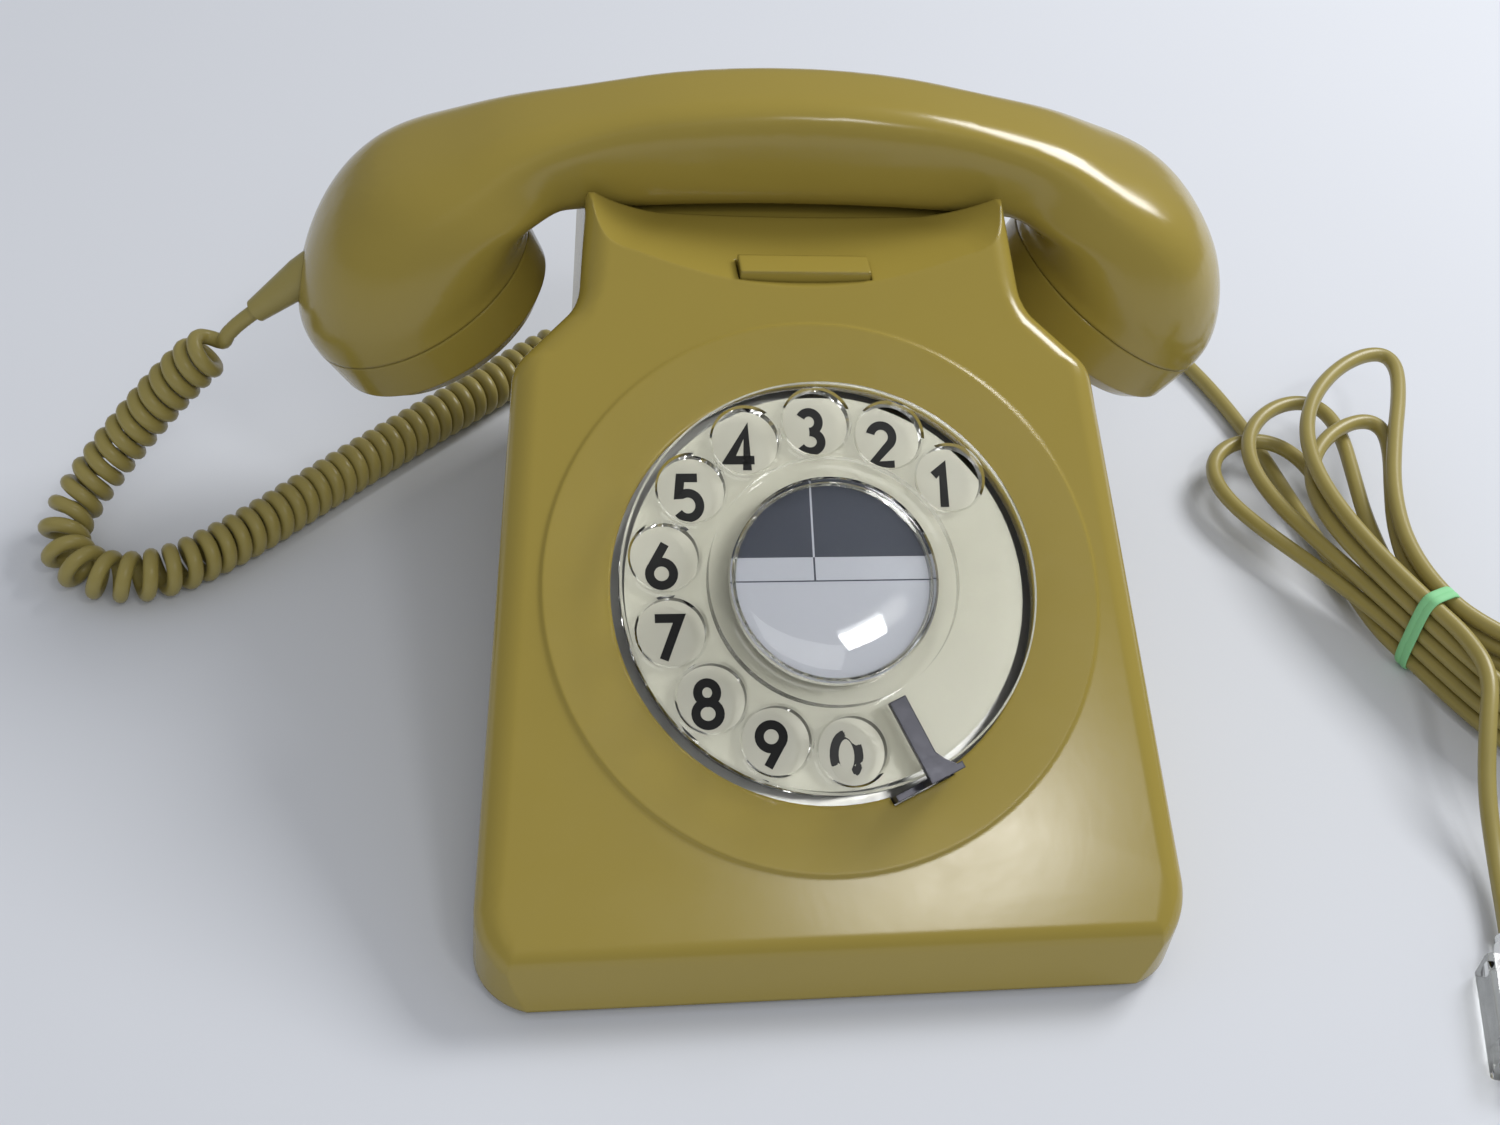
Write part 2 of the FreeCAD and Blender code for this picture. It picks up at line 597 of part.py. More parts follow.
def stop_shape():
    """Finger stop: a bar over the finger plate, flared at its outer end, with a broad heel."""
    half = s.stop_width.value / 2
    thick = s.stop_thick.value
    outer = s.plate_radius.value + s.stop_gap.value
    low = s.finger_plate_low.value + s.finger_plate_thick.value + s.stop_lift.value
    flare = s.stop_flare.value
    corners = [(s.stop_inner.value, -half), (s.stop_inner.value, half), (outer - 2 * flare / 3, half),
               (outer - flare / 3, flare / 2), (outer + thick, flare), (outer + thick, -half)]
    points = [Vector(x, y, low) for x, y in corners]
    bar = Part.Face(Part.makePolygon(points + points[:1])).extrude(Vector(0, 0, thick))
    bottom = s.frame_low.value + s.frame_thick.value
    neck = Part.makeBox(thick, half + flare, low + thick - bottom, Vector(outer, -half, bottom))
    heel = Part.makeBox(thick, s.stop_heel.value + flare, s.stop_heel_top.value - bottom,
                        Vector(outer, -s.stop_heel.value, bottom))
    return coded(bar.fuse(neck).fuse(heel).removeSplitter())


def make_dial_frame():
    top = s.frame_low + s.frame_thick
    disc = cylinder(s.frame_radius, s.frame_thick, 0, 0, s.frame_low)
    root = top - s.bite
    rim = cut(cylinder(s.frame_rim, s.number_plate_low - root, 0, 0, root),
              cylinder(s.frame_rim - s.frame_rim_wall, s.through, 0, 0, root - s.bite))
    bearing = cylinder(s.spindle + s.bearing_wall, s.bearing_long, 0, 0, s.frame_low - s.bearing_low)
    under = s.frame_low - s.bearing_low - s.bite
    holes = [cylinder(s.spindle + s.spindle_fit, s.through, 0, 0, under)]
    screws = []
    for angle in DIAL_SCREWS:
        x, y = on_circle(s.dial_screw_circle, angle)
        holes.append(cylinder(s.screw_radius + s.screw_loose, s.through, x, y, under))
        screws.append(screw(x, y, s.frame_low, -s.frame_low - s.wall - s.dial_screw_end))
    arbors = pulse_place(), governor_place()
    for x, y in arbors:
        holes.append(cylinder(s.arbor + s.spindle_fit, s.through, x, y, under))
    dial_node(cut(fuse(disc, rim, bearing), *holes), "dial_frame")
    dial_node(group(*screws), "dial_screws")
    behind = s.back_plate_low - s.bite
    back_holes = [cylinder(s.spindle + s.spindle_fit, s.through, 0, 0, behind)]
    for x, y in arbors:
        back_holes.append(cylinder(s.arbor + s.spindle_fit, s.through, x, y, behind))
    back = cylinder(s.back_plate_radius, s.back_plate_thick, 0, 0, s.back_plate_low)
    dial_node(cut(back, *back_holes), "dial_back_plate")
    pillars = []
    low = s.back_plate_low + s.back_plate_thick
    for angle in PILLARS:
        x, y = on_circle(s.pillar_circle, angle)
        pillars.append(cylinder(s.pillar_radius, s.frame_low - low, x, y, low))
    dial_node(group(*pillars), "dial_pillars")


def pulse_place():
    return on_circle((s.main_teeth + s.pinion_teeth) * s.gear_module / 2 + s.gear_play, 0.0)


def governor_place():
    x, y = pulse_place()
    reach = (s.wheel_teeth + s.governor_teeth) * s.fine_module / 2 + s.gear_play
    turn = math.radians(GOVERNOR_SIDE)
    return x + reach * math.cos(turn), y + reach * math.sin(turn)


def make_gears():
    plate_top = s.finger_plate_low + s.finger_plate_thick
    dial_node(fuse(cylinder(s.spindle, plate_top - s.back_plate_low, 0, 0, s.back_plate_low),
                   cylinder(s.spindle + s.collar_step, s.collar_thick, 0, 0,
                            s.finger_plate_low - s.dial_gap - s.collar_thick)), "dial_spindle")
    dial_node(coded_at(gear(s.main_teeth, s.gear_module, s.gear_thick, s.spindle), 0, 0, s.gear_low),
              "main_gear")
    drum_low = s.back_plate_low + s.back_plate_thick
    drum = cut(cylinder(s.drum_radius, s.drum_high, 0, 0, drum_low),
               cylinder(s.drum_radius - s.drum_wall, s.drum_high, 0, 0, drum_low + s.drum_wall),
               cylinder(s.spindle + s.shaft_clear, s.through, 0, 0, drum_low - s.bite))
    dial_node(drum, "mainspring_drum")
    x, y = pulse_place()
    long = s.frame_low + s.frame_thick - s.back_plate_low
    half_tooth = 180.0 / s.pinion_teeth.value
    wheel_low = s.gear_low - s.wheel_drop
    pinion_thick = s.gear_thick + s.pinion_over * 2
    pulse = fuse(cylinder(s.arbor, long, x, y, s.back_plate_low),
                 coded_at(gear(s.pinion_teeth, s.gear_module, pinion_thick, s.gear_bore), x, y,
                          s.gear_low - s.pinion_over, half_tooth),
                 coded_at(gear(s.wheel_teeth, s.fine_module, s.gear_thick, s.gear_bore), x, y, wheel_low),
                 cylinder(s.arbor + s.sleeve, s.wheel_drop, x, y, wheel_low))
    dial_node(pulse, "pulse_gear")
    gx, gy = governor_place()
    fly_low = s.back_plate_low + s.fly_low
    weight_low = fly_low + s.fly_thick / 2 - s.weight_high / 2
    spin = coded_at(gear(s.governor_teeth, s.fine_module, pinion_thick, s.gear_bore), gx, gy,
                    wheel_low - s.pinion_over, governor_turn())
    governor = fuse(cylinder(s.arbor, long, gx, gy, s.back_plate_low), spin,
                    block(gx - s.fly_half, gx + s.fly_half, gy - s.fly_deep, gy + s.fly_deep, fly_low,
                          fly_low + s.fly_thick),
                    cylinder(s.weight_radius, s.weight_high, gx - s.fly_half, gy, weight_low),
                    cylinder(s.weight_radius, s.weight_high, gx + s.fly_half, gy, weight_low))
    dial_node(governor, "governor")
    cup = cut(cylinder(s.cup_radius, s.cup_deep, gx, gy, drum_low),
              cylinder(s.cup_radius - s.cup_wall, s.cup_deep, gx, gy, drum_low + s.cup_wall),
              cylinder(s.arbor + s.shaft_clear, s.through, gx, gy, drum_low - s.bite))
    dial_node(cup, "governor_cup")


def governor_turn():
    """Turn that sets a gap of the governor's pinion on a tooth of the wheel that drives it."""
    line = GOVERNOR_SIDE
    wheel = 360.0 / s.wheel_teeth.value
    off = (line % wheel) / wheel
    step = 360.0 / s.governor_teeth.value
    return line + 180.0 + step / 2 + off * step


def make_switch():
    ceiling = s.trough_floor - s.wall
    top = s.bracket_top
    pin_z = s.yoke_low - s.yoke_thick - s.lever_thick / 2 - s.lever_gap
    make_plunger()
    make_bracket(top, pin_z)
    make_lever(pin_z)
    make_hook_contacts(top)
    bar_low = ceiling - s.bar_reach
    bar_back = s.bar_front + s.bar_deep
    bar = block(-s.bar_half, s.bar_half, s.bar_front, bar_back, bar_low, s.dish_floor + s.bar_proud)
    flange_top = ceiling - s.flange_gap
    flange = block(-(s.bar_half + s.bar_flange), s.bar_half + s.bar_flange, s.bar_front - s.bar_flange,
                   bar_back + s.bar_flange, flange_top - s.flange_thick, flange_top)
    node(fuse(bar, flange), "press_bar")
    post_top = bar_low - s.bar_travel - s.flange_gap
    leaf_top = post_top - s.bar_leaf_thick
    post = block(s.post_x - s.post_half, s.post_x + s.post_half, s.bracket_front,
                 s.bracket_front + s.post_deep, top, post_top)
    leaf = block(s.post_x - s.post_half + s.stack_margin, s.bar_leaf_end,
                 s.bracket_front + s.stack_margin, s.bracket_front + s.post_deep - s.stack_margin,
                 leaf_top - s.bar_leaf_thick, leaf_top)
    node(fuse(post, leaf), "bar_contacts")


def make_plunger():
    """Two posts that reach up into the cradle trough, on one yoke under the case."""
    posts = []
    for x in (-s.plunger_x, s.plunger_x):
        posts.append(cylinder(s.plunger_radius, s.trough_floor + s.plunger_proud - s.yoke_low, x,
                              s.plunger_y, s.yoke_low))
    half = s.plunger_x + s.yoke_margin
    yoke = block(-half, half, s.plunger_y - s.yoke_half_deep, s.plunger_y + s.yoke_half_deep,
                 s.yoke_low - s.yoke_thick, s.yoke_low + s.bite)
    node(fuse(yoke, *posts), "hook_plunger")


def make_bracket(top, pin_z):
    """Bracket on two legs with an ear each side of the lever."""
    table = block(-s.bracket_half, s.bracket_half, s.bracket_front, s.plunger_y - s.bracket_gap,
                  top - s.bracket_thick, top)
    front = s.lever_pivot_y - s.leg_front
    legs = []
    for x in (-s.bracket_half, s.bracket_half - s.bracket_thick):
        legs.append(block(x, x + s.bracket_thick, front, front + s.leg_width,
                          s.case_bottom + s.plate_thick, top))
    ears = []
    for x in (-(s.lever_half + s.ear_gap + s.ear_thick), s.lever_half + s.ear_gap):
        ears.append(block(x, x + s.ear_thick, s.lever_pivot_y - s.ear_half, s.lever_pivot_y + s.ear_half,
                          top - s.bite, pin_z + s.ear_half))
    pin_half = s.lever_half + s.ear_gap + s.ear_thick + s.pin_proud
    hole = cylinder(s.lever_pin, pin_half * 2, -pin_half, s.lever_pivot_y, pin_z, ALONG_X)
    node(cut(fuse(table, *legs, *ears), hole), "switch_bracket")
    pin = cylinder(s.lever_pin - s.press_fit, pin_half * 2, -pin_half, s.lever_pivot_y, pin_z, ALONG_X)
    node(group(pin), "lever_pin")


def make_lever(pin_z):
    """Switch lever with an eye round its pin, reaching under the plunger's yoke."""
    low = pin_z - s.lever_thick / 2
    arm = block(-s.lever_half, s.lever_half, s.lever_pivot_y, s.plunger_y + s.lever_past, low,
                low + s.lever_thick)
    eye = cylinder(s.lever_pin + s.lever_eye, s.lever_half * 2, -s.lever_half, s.lever_pivot_y, pin_z,
                   ALONG_X)
    bore_half = s.lever_half + s.ear_gap
    bore = cylinder(s.lever_pin + s.spindle_fit, bore_half * 2, -bore_half, s.lever_pivot_y, pin_z, ALONG_X)
    node(cut(fuse(arm, eye), bore), "hook_lever")


def make_hook_contacts(top):
    """Stack of contact leaves beside the lever, each a little shorter than the one below it."""
    front = s.bracket_front + s.stack_inset
    left = s.stack_x - s.stack_half
    right = s.stack_x + s.stack_half
    leaves = [block(left - s.stack_margin, right + s.stack_margin, front - s.stack_margin,
                    s.plunger_y - s.bracket_gap - s.stack_margin, top, top + s.stack_base)]
    for index in range(LEAVES):
        low = top + s.stack_base - s.bite + s.leaf_pitch * index
        leaf_low = low + (s.leaf_pitch - s.leaf_thick) / 2
        leaves.append(block(left, right, front, front + s.stack_deep, low, low + s.leaf_pitch + s.bite))
        leaves.append(block(s.stack_x - s.leaf_half, s.stack_x + s.leaf_half, front + s.stack_margin,
                            s.plunger_y - s.leaf_back - s.leaf_step * index, leaf_low,
                            leaf_low + s.leaf_thick))
    node(fuse(*leaves), "hook_contacts")


def make_bell():
    rim = s.gong_top - s.gong_high
    slope = s.gong_high - s.gong_skirt
    inner = s.gong_radius - s.gong_wall
    screws = []
    for label, x in (("bell_gong_left", -s.gong_x), ("bell_gong_right", s.gong_x)):
        shell = fuse(cylinder(s.gong_radius, s.gong_skirt, x, gong_y(), rim),
                     cone(s.gong_radius, s.gong_crown, slope, x, gong_y(), rim + s.gong_skirt))
        hollow = fuse(cylinder(inner, s.gong_skirt, x, gong_y(), rim - s.overcut),
                      cone(inner, s.gong_crown - s.gong_wall, slope - s.gong_wall + s.overcut, x, gong_y(),
                           rim + s.gong_skirt - s.overcut))
        hole = cylinder(s.screw_radius + s.screw_clearance, s.gong_high + s.bite, x, gong_y(), rim)
        node(cut(shell, hollow, hole), label)
        screws.append(fuse(cylinder(s.screw_radius - s.press_fit, s.gong_screw, x, gong_y(),
                                    s.gong_top - s.gong_screw + s.overcut),
                           cone(s.screw_head, s.screw_head - s.head_taper, s.screw_head_thick, x, gong_y(),
                                s.gong_top)))
    node(group(*screws), "gong_screws")
    make_ringer(s.case_bottom + s.plate_thick)


def make_ringer(low):
    """Yoke with two coils on its cores, and the armature that swings the clapper between the gongs."""
    coil_low = low + s.yoke_thickness
    arm_low = coil_low + s.coil_high + s.air_gap
    arm_top = arm_low + s.armature_thick
    root = coil_low - s.bite
    front = yoke_y() - s.yoke_deep / 2
    yoke = fuse(block(-s.yoke_half, s.yoke_half, front, front + s.yoke_deep, low, coil_low),
                cylinder(s.pivot, arm_top + s.air_gap - root, 0, yoke_y(), root),
                cylinder(s.pivot + s.pivot_step, arm_low - s.lever_gap - root, 0, yoke_y(), root))
    cores = []
    coils = []
    for x in (-s.coil_x, s.coil_x):
        cores.append(cylinder(s.core_radius, s.coil_high + s.core_proud + s.bite, x, yoke_y(), root))
        bobbin = fuse(cylinder(s.coil_radius, s.bobbin_flange, x, yoke_y(), coil_low),
                      cylinder(s.coil_radius - s.winding_step, s.coil_high, x, yoke_y(), coil_low),
                      cylinder(s.coil_radius, s.bobbin_flange, x, yoke_y(),
                               coil_low + s.coil_high - s.bobbin_flange))
        coils.append(cut(bobbin, cylinder(s.core_radius, s.coil_high + s.bite * 2, x, yoke_y(), root)))
    node(fuse(yoke, *cores), "bell_yoke")
    node(group(*coils), "bell_coils")
    arm_front = yoke_y() - s.armature_deep / 2
    arm = cut(block(-s.armature_half, s.armature_half, arm_front, arm_front + s.armature_deep, arm_low,
                    arm_top),
              cylinder(s.pivot + s.spindle_fit, s.armature_thick + s.bite * 2, 0, yoke_y(),
                       arm_low - s.bite))
    rod_z = arm_low + s.armature_thick / 2
    rod = cylinder(s.clapper_rod, s.bell_reach - s.rod_inset, 0, yoke_y() + s.rod_inset, rod_z, ALONG_Y)
    node(fuse(arm, rod, ball(s.clapper, 0, gong_y(), rod_z)), "bell_armature")


def make_circuit():
    top = s.board_z + s.board_thick
    node(block(-s.board_half, s.board_half, s.board_front, s.board_back, s.board_z, top), "circuit_board")
    right = s.coil_box_x + s.coil_box
    back = s.coil_box_y + s.coil_box_deep
    core = block(s.coil_box_x, right, s.coil_box_y, back, top, top + s.coil_box_high)
    winding = block(s.coil_box_x + s.winding_inset, right - s.winding_inset, s.coil_box_y - s.winding_proud,
                    back + s.winding_proud, top + s.winding_inset, top + s.coil_box_high - s.winding_inset)
    node(fuse(core, winding), "induction_coil")
    can = cylinder(s.capacitor, s.capacitor_long, s.capacitor_x, s.capacitor_y, top + s.capacitor, ALONG_Y)
    node(group(can), "capacitor")
    block_top = top + s.block_high
    strip = block(s.block_x, s.block_x + s.block_long, s.block_y, s.block_y + s.block_deep, top, block_top)
    y = s.block_y + s.block_deep / 2
    sockets = []
    heads = []
    for index in range(TERMINALS):
        x = s.block_x + s.block_long * (index + 0.5) / TERMINALS
        sockets.append(cylinder(s.terminal_shank, s.terminal_deep + s.bite, x, y,
                                block_top - s.terminal_deep))
        heads.append(fuse(cylinder(s.terminal, s.terminal_head, x, y, block_top),
                          cylinder(s.terminal_shank - s.press_fit, s.terminal_deep, x, y,
                                   block_top - s.terminal_deep + s.bite)))
    node(cut(strip, *sockets), "terminal_block")
    node(group(*heads), "terminal_screws")


# Half of the handset as a fan of sections about a point under the grip's shoulder: angle of the
# section, its inner and outer reach from that point, its width and how square it is.
FAN_X = 50.0
FAN_Z = 87.6
FAN = ((-22.0, 9.9, 66.6, 57.6, 2.05), (-8.0, 9.2, 58.5, 54.5, 2.25), (10.0, 8.2, 46.5, 48.5, 2.5),
       (30.0, 7.0, 33.0, 40.5, 2.9), (58.0, 5.4, 26.6, 31.5, 3.3), (90.0, 4.4, 26.4, 26.5, 3.6))
GRIP = ((26.0, 93.4, 118.8), (0.0, 94.0, 120.5))
GRIP_SQUARE = 3.8
SECTION_POINTS = 28


def section(centre, across, high, wide, square):
    """Points round a section: a superellipse, more square as its exponent grows, from its low side."""
    points = []
    for index in range(SECTION_POINTS + 1):
        turn = math.pi + 2 * math.pi * (index % SECTION_POINTS) / SECTION_POINTS
        c = math.cos(turn)
        d = math.sin(turn)
        a = math.copysign(abs(c) ** (2 / square), c) * high / 2
        b = math.copysign(abs(d) ** (2 / square), d) * wide / 2
        points.append(centre + across * a + Vector(0, b, 0))
    return points


def skin(sections):
    """Solid with one smooth surface through the sections and a flat face at each end."""
    surface = Part.BSplineSurface()
    surface.interpolate(sections)
    first, last, low, high = surface.bounds()
    ends = [Part.Face(Part.Wire(surface.uIso(place).toShape())) for place in (first, last)]
    shell = Part.Shell([surface.toShape()] + ends)
    shell.sewShape()
    solid = Part.Solid(shell)
    if solid.Volume < 0:
        solid.reverse()
    return solid


def cap_axis(side):
    tilt = math.radians(s.cap_tilt.value)
    return Vector(-side * math.sin(tilt), 0, -math.cos(tilt))


def seam_centre(side):
    return Vector(side * s.seam_x.value, s.handset_y.value, s.seam_z.value)


def half_sections(side):
    y = s.handset_y.value
    tilt = math.radians(s.cap_tilt.value)
    across = Vector(side * math.cos(tilt), 0, -math.sin(tilt))
    round_end = s.bulb_radius.value * 2
    sections = [section(seam_centre(side), across, round_end, round_end, 2.0)]
    for angle, inner, outer, wide, square in FAN:
        turn = math.radians(angle)
        across = Vector(side * math.cos(turn), 0, math.sin(turn))
        centre = Vector(side * FAN_X, y, FAN_Z) + across * ((inner + outer) / 2)
        sections.append(section(centre, across, outer - inner, wide, square))
    return sections


def handset_shape():
    y = s.handset_y.value
    up = Vector(0, 0, 1)
    right = half_sections(1)
    left = half_sections(-1)
    wide = s.grip_width.value
    middle = []
    for x in (GRIP[0][0], GRIP[1][0], -GRIP[0][0]):
        low, high = GRIP[0][1:] if x else (s.grip_bottom.value, s.grip_top.value)
        middle.append(section(Vector(x, y, (low + high) / 2), up, high - low, wide, GRIP_SQUARE))
    solid = skin(right + middle + left[::-1])
    for side in (1, -1):
        seat = seam_centre(side)
        axis = cap_axis(side)
        neck = Part.makeCylinder(s.neck_radius.value, s.neck_high.value + 1.0, seat - axis, axis)
        solid = solid.fuse(neck)
        deep = s.cavity_deep.value
        hollow = Part.makeCylinder(s.cavity_radius.value, deep + 40.0, seat - axis * deep, axis)
        solid = solid.cut(hollow)
    return solid.cut(boot_shape(0.05))


BOOT_ROOT = Vector(-106.0, 0, 71.0)
BOOT_WAY = Vector(-0.75, 0, -0.66)
BOOT_IN = 6.0


def boot_end():
    way = Vector(BOOT_WAY).normalize()
    return BOOT_ROOT + Vector(0, s.handset_y.value, 0) + way * (BOOT_IN + s.boot_long.value), way


def boot_shape(gap):
    end, way = boot_end()
    root = end - way * (BOOT_IN + s.boot_long.value)
    body = Part.makeCylinder(s.boot_radius.value + gap, BOOT_IN, root, way)
    taper = Part.makeCone(s.boot_radius.value + gap, s.boot_end.value + gap, s.boot_long.value,
                          root + way * BOOT_IN, way)
    return body.fuse(taper).removeSplitter()


def on_seam(shape, side):
    """Turn a piece drawn about +Z onto a cap's axis."""
    thing = coded(shape)
    thing.Placement = Placement(seam_centre(side), Rotation(Vector(0, 0, 1), cap_axis(side)))
    return thing


def cap_shape(rings):
    """Screw cap: tapered skirt, rounded face and rings of sound holes."""
    high = s.cap_high.value
    gap = s.cap_gap.value
    edge = 3.5
    outer = Part.makeCone(s.bulb_radius.value, s.cap_face.value + edge, high - edge - gap, Vector(0, 0, gap))
    rounded = Part.makeCone(s.cap_face.value + edge, s.cap_face.value, edge, Vector(0, 0, high - edge))
    solid = outer.fuse(rounded).removeSplitter()
    solid = solid.cut(Part.makeCylinder(s.neck_radius.value + gap, high - s.cap_wall.value))
    for count, radius in rings:
        for index in range(count):
            x, y = on_circle(radius, 360.0 * index / count)
            solid = solid.cut(Part.makeCylinder(s.sound_hole.value, high * 2, Vector(x, y, 0)))
    return solid


def capsule_shape():
    """Capsule that drops into the cavity and hangs on the neck's end by its flange."""
    high = s.neck_high.value
    body = Part.makeCylinder(s.cavity_radius.value - s.capsule_gap.value, high + 4.0, Vector(0, 0, -4.0))
    flange = Part.makeCylinder(s.neck_radius.value - 0.8, s.capsule_flange.value, Vector(0, 0, high))
    rim = Part.makeCylinder(s.cavity_radius.value - 4.0, s.capsule_flange.value, Vector(0, 0, high + 0.8))
    return body.fuse(flange).fuse(rim).removeSplitter()


def make_handset():
    node(coded(handset_shape()), "handset_body")
    ear = ((1, 0.0), (6, 7.0))
    mouth = ((1, 0.0), (6, 6.0), (12, 12.0))
    for side, cap, capsule, rings in ((1, "ear_cap", "receiver_capsule", ear),
                                      (-1, "mouth_cap", "transmitter_capsule", mouth)):
        node(on_seam(cap_shape(rings), side), cap)
        node(on_seam(capsule_shape(), side), capsule)
    node(coded(boot_shape(0.0)), "handset_boot")


def spline(points, count):
    """Points along the smooth line that has the route's points as its control points."""
    spans = len(points) - 2
    knots = [0.0] * 3 + [float(k) for k in range(1, spans)] + [float(spans)] * 3
    line = []
    for index in range(count + 1):
        place = min(spans * index / count, spans - 1e-9)
        first = int(place)
        near = [Vector(p) for p in points[first:first + 3]]
        for level in (1, 2):
            for k in range(2, level - 1, -1):
                low = knots[first + k]
                high = knots[first + k + 3 - level]
                near[k] = near[k - 1] + (near[k] - near[k - 1]) * ((place - low) / (high - low))
        line.append(near[2])
    return line


def walk(points, count=1200):
    """Function that gives the place, heading and two cross directions at a length along a route."""
    line = spline(points, count)
    lengths = [0.0]
    for a, b in zip(line, line[1:]):
        lengths.append(lengths[-1] + (b - a).Length)
    side = None
    frames = []
    for index in range(count + 1):
        heading = (line[min(index + 1, count)] - line[max(index - 1, 0)]).normalize()
        if side is None:
            side = heading.cross(Vector(0, 0, 1)).normalize()
        side = (side - heading * side.dot(heading)).normalize()
        frames.append((heading, side, heading.cross(side)))

    def at(length):
        length = min(max(length, 0.0), lengths[-1])
        low = 0
        high = count
        while high - low > 1:
            middle = (low + high) // 2
            if lengths[middle] <= length:
                low = middle
            else:
                high = middle
        share = (length - lengths[low]) / max(lengths[high] - lengths[low], 1e-9)
        return line[low] + (line[high] - line[low]) * share, frames[low]
    return at, lengths[-1]


def biarc(start, heading, end, leaving):
    """Two arcs that join end to end and keep the headings at both ends."""
    gap = end - start
    both = heading + leaving
    bend = 2 * (1 - heading.dot(leaving))
    along = gap.dot(both)
    if bend < 1e-7:
        reach = gap.dot(gap) / (4 * gap.dot(leaving))
    else:
        reach = (math.sqrt(along * along + bend * gap.dot(gap)) - along) / bend
    middle = (start + end + (heading - leaving) * reach) * 0.5
    return [one_arc(start, heading, middle), one_arc(end, leaving * -1, middle)]


def one_arc(start, heading, end):
    chord = end - start
    way = Vector(chord).normalize()
    off = heading - way * heading.dot(way)
    if off.Length < 1e-5:
        return Part.LineSegment(start, end).toShape()
    half = math.acos(max(-1.0, min(1.0, heading.dot(way)))) / 2
    top = (start + end) * 0.5 + off.normalize() * (chord.Length / 2 * math.tan(half))
    return Part.Arc(start, top, end).toShape()


def pipe(edges, radius):
    wire = Part.Wire(edges)
    first = edges[0]
    start = first.valueAt(first.FirstParameter)
    ring = Part.Wire(Part.Circle(start, first.tangentAt(first.FirstParameter), radius).toShape())
    shape = wire.makePipeShell([ring], True, False)
    return shape, wire.Length


def self_gap(points, skip, radius):
    """Least gap between parts of a tube that are further apart along it than skip points."""
    least = 1e9
    for index, place in enumerate(points):
        for other in points[index + skip:]:
            apart = (place.x - other.x) ** 2 + (place.y - other.y) ** 2 + (place.z - other.z) ** 2
            least = min(least, apart)
    return math.sqrt(least) - 2 * radius


def curve_pipe(place, stops, radius):
    """Tube along place(t), as two arcs between each pair of stops."""
    step = 1e-3
    ends = []
    for stop in stops:
        heading = (place(stop + step) - place(stop - step)).normalize()
        ends.append((place(stop), heading))
    edges = []
    for (start, heading), (end, leaving) in zip(ends, ends[1:]):
        edges += biarc(start, heading, end, leaving)
    return pipe(edges, radius)


# Route of the curly cord's middle line, from the handset's boot round on the table to the case.
CURLY_ROUTE = [(-128.5, 62.5, 50.5), (-140, 61, 40), (-154, 57, 24), (-166, 49, 11), (-170, 37, 7.2),
               (-162, 26, 6.6), (-146, 25, 6.6), (-128, 38, 6.6), (-108, 58, 6.6), (-88, 77, 6.6),
               (-68, 95, 6.6), (-50, 112, 6.8), (-34, 121, 8.5)]
TAIL = 9.0
RAMP = 9.0
CURL_STEPS = 2400


def curl_turns(at, first, last):
    """Length along the route at each half turn: a bend spreads the curls that lie inside it."""
    step = (last - first) / CURL_STEPS
    stops = [first]
    turned = 0.0
    for index in range(CURL_STEPS):
        here = first + step * index
        bend = at(here)[1][0].getAngle(at(here + step)[1][0]) / step
        turned += step * max(1 - s.curl_radius.value * bend, 0.3) / s.curl_pitch.value
        if turned > len(stops) / 2:
            stops.append(here + step)
    return stops


def curly_shape():
    radius = s.curl_wire.value / 2
    start, way = boot_end()
    half = s.case_depth.value / 2
    out = Vector(-s.bush_x.value, half + s.bush_long.value, s.bush_z.value)
    route = [start, start + way * 6.0] + [Vector(*p) for p in CURLY_ROUTE]
    route += [out + Vector(0, 10.0, 0), out]
    at, total = walk(route)
    first = TAIL
    last = total - TAIL - 14.0
    halves = curl_turns(at, first, last)

    def place(length):
        middle, (heading, side, rise) = at(length)
        ease = min(max((length - first) / RAMP, 0.0), 1.0) * min(max((last - length) / RAMP, 0.0), 1.0)
        reach = s.curl_radius.value * ease * ease * (3 - 2 * ease)
        index = min(max(bisect.bisect_right(halves, length) - 1, 0), len(halves) - 2)
        turn = math.pi * (index + (length - halves[index]) / (halves[index + 1] - halves[index]))
        return middle + side * (reach * math.cos(turn)) + rise * (reach * math.sin(turn))

    stops = [0.01, first / 2] + halves + [last + 4.0, (last + total) / 2 + 2.0, total - 0.01]
    shape, length = curve_pipe(place, stops, radius)
    points = []
    for low, high in zip(halves[3:-4], halves[4:-3]):
        points += [place(low + (high - low) * k / 8) for k in range(8)]
    print("curly cord: turns", len(halves) // 2, "length", round(length, 1),
          "gap", round(self_gap(points, 12, radius), 2),
          "volume share", round(shape.Volume / (math.pi * radius ** 2 * length), 4))
    return shape


# Route of the line cord from the case's bush to the hank.
LINE_ROUTE = [(36, 142, 8), (58, 156, 4.5), (86, 158, 3), (112, 148, 2.6), (130, 128, 2.6), (140, 104, 2.6),
              (146, 78, 2.6), (149, 52, 2.6), (152.5, 28, 3)]
HANK_AT = (162.0, -5.0)
HANK_TURN = 113.0
HANK_LOOPS = 4
LOBES_UP = ((80.0, 27.0, 0.08), (84.0, 30.0, 0.3), (66.0, 26.0, 0.5), (84.0, 32.0, 0.62))
LOBE_DOWN = (62.0, 26.0, 0.53)
WAIST = 2.5
TAIL_ROUTE = [(165.6, -29.5, 22.2), (160.5, -43, 18), (157.5, -56, 11), (156, -69, 6), (153.5, -81, 4.5)]
PLUG_AT = (150.5, -92.0)


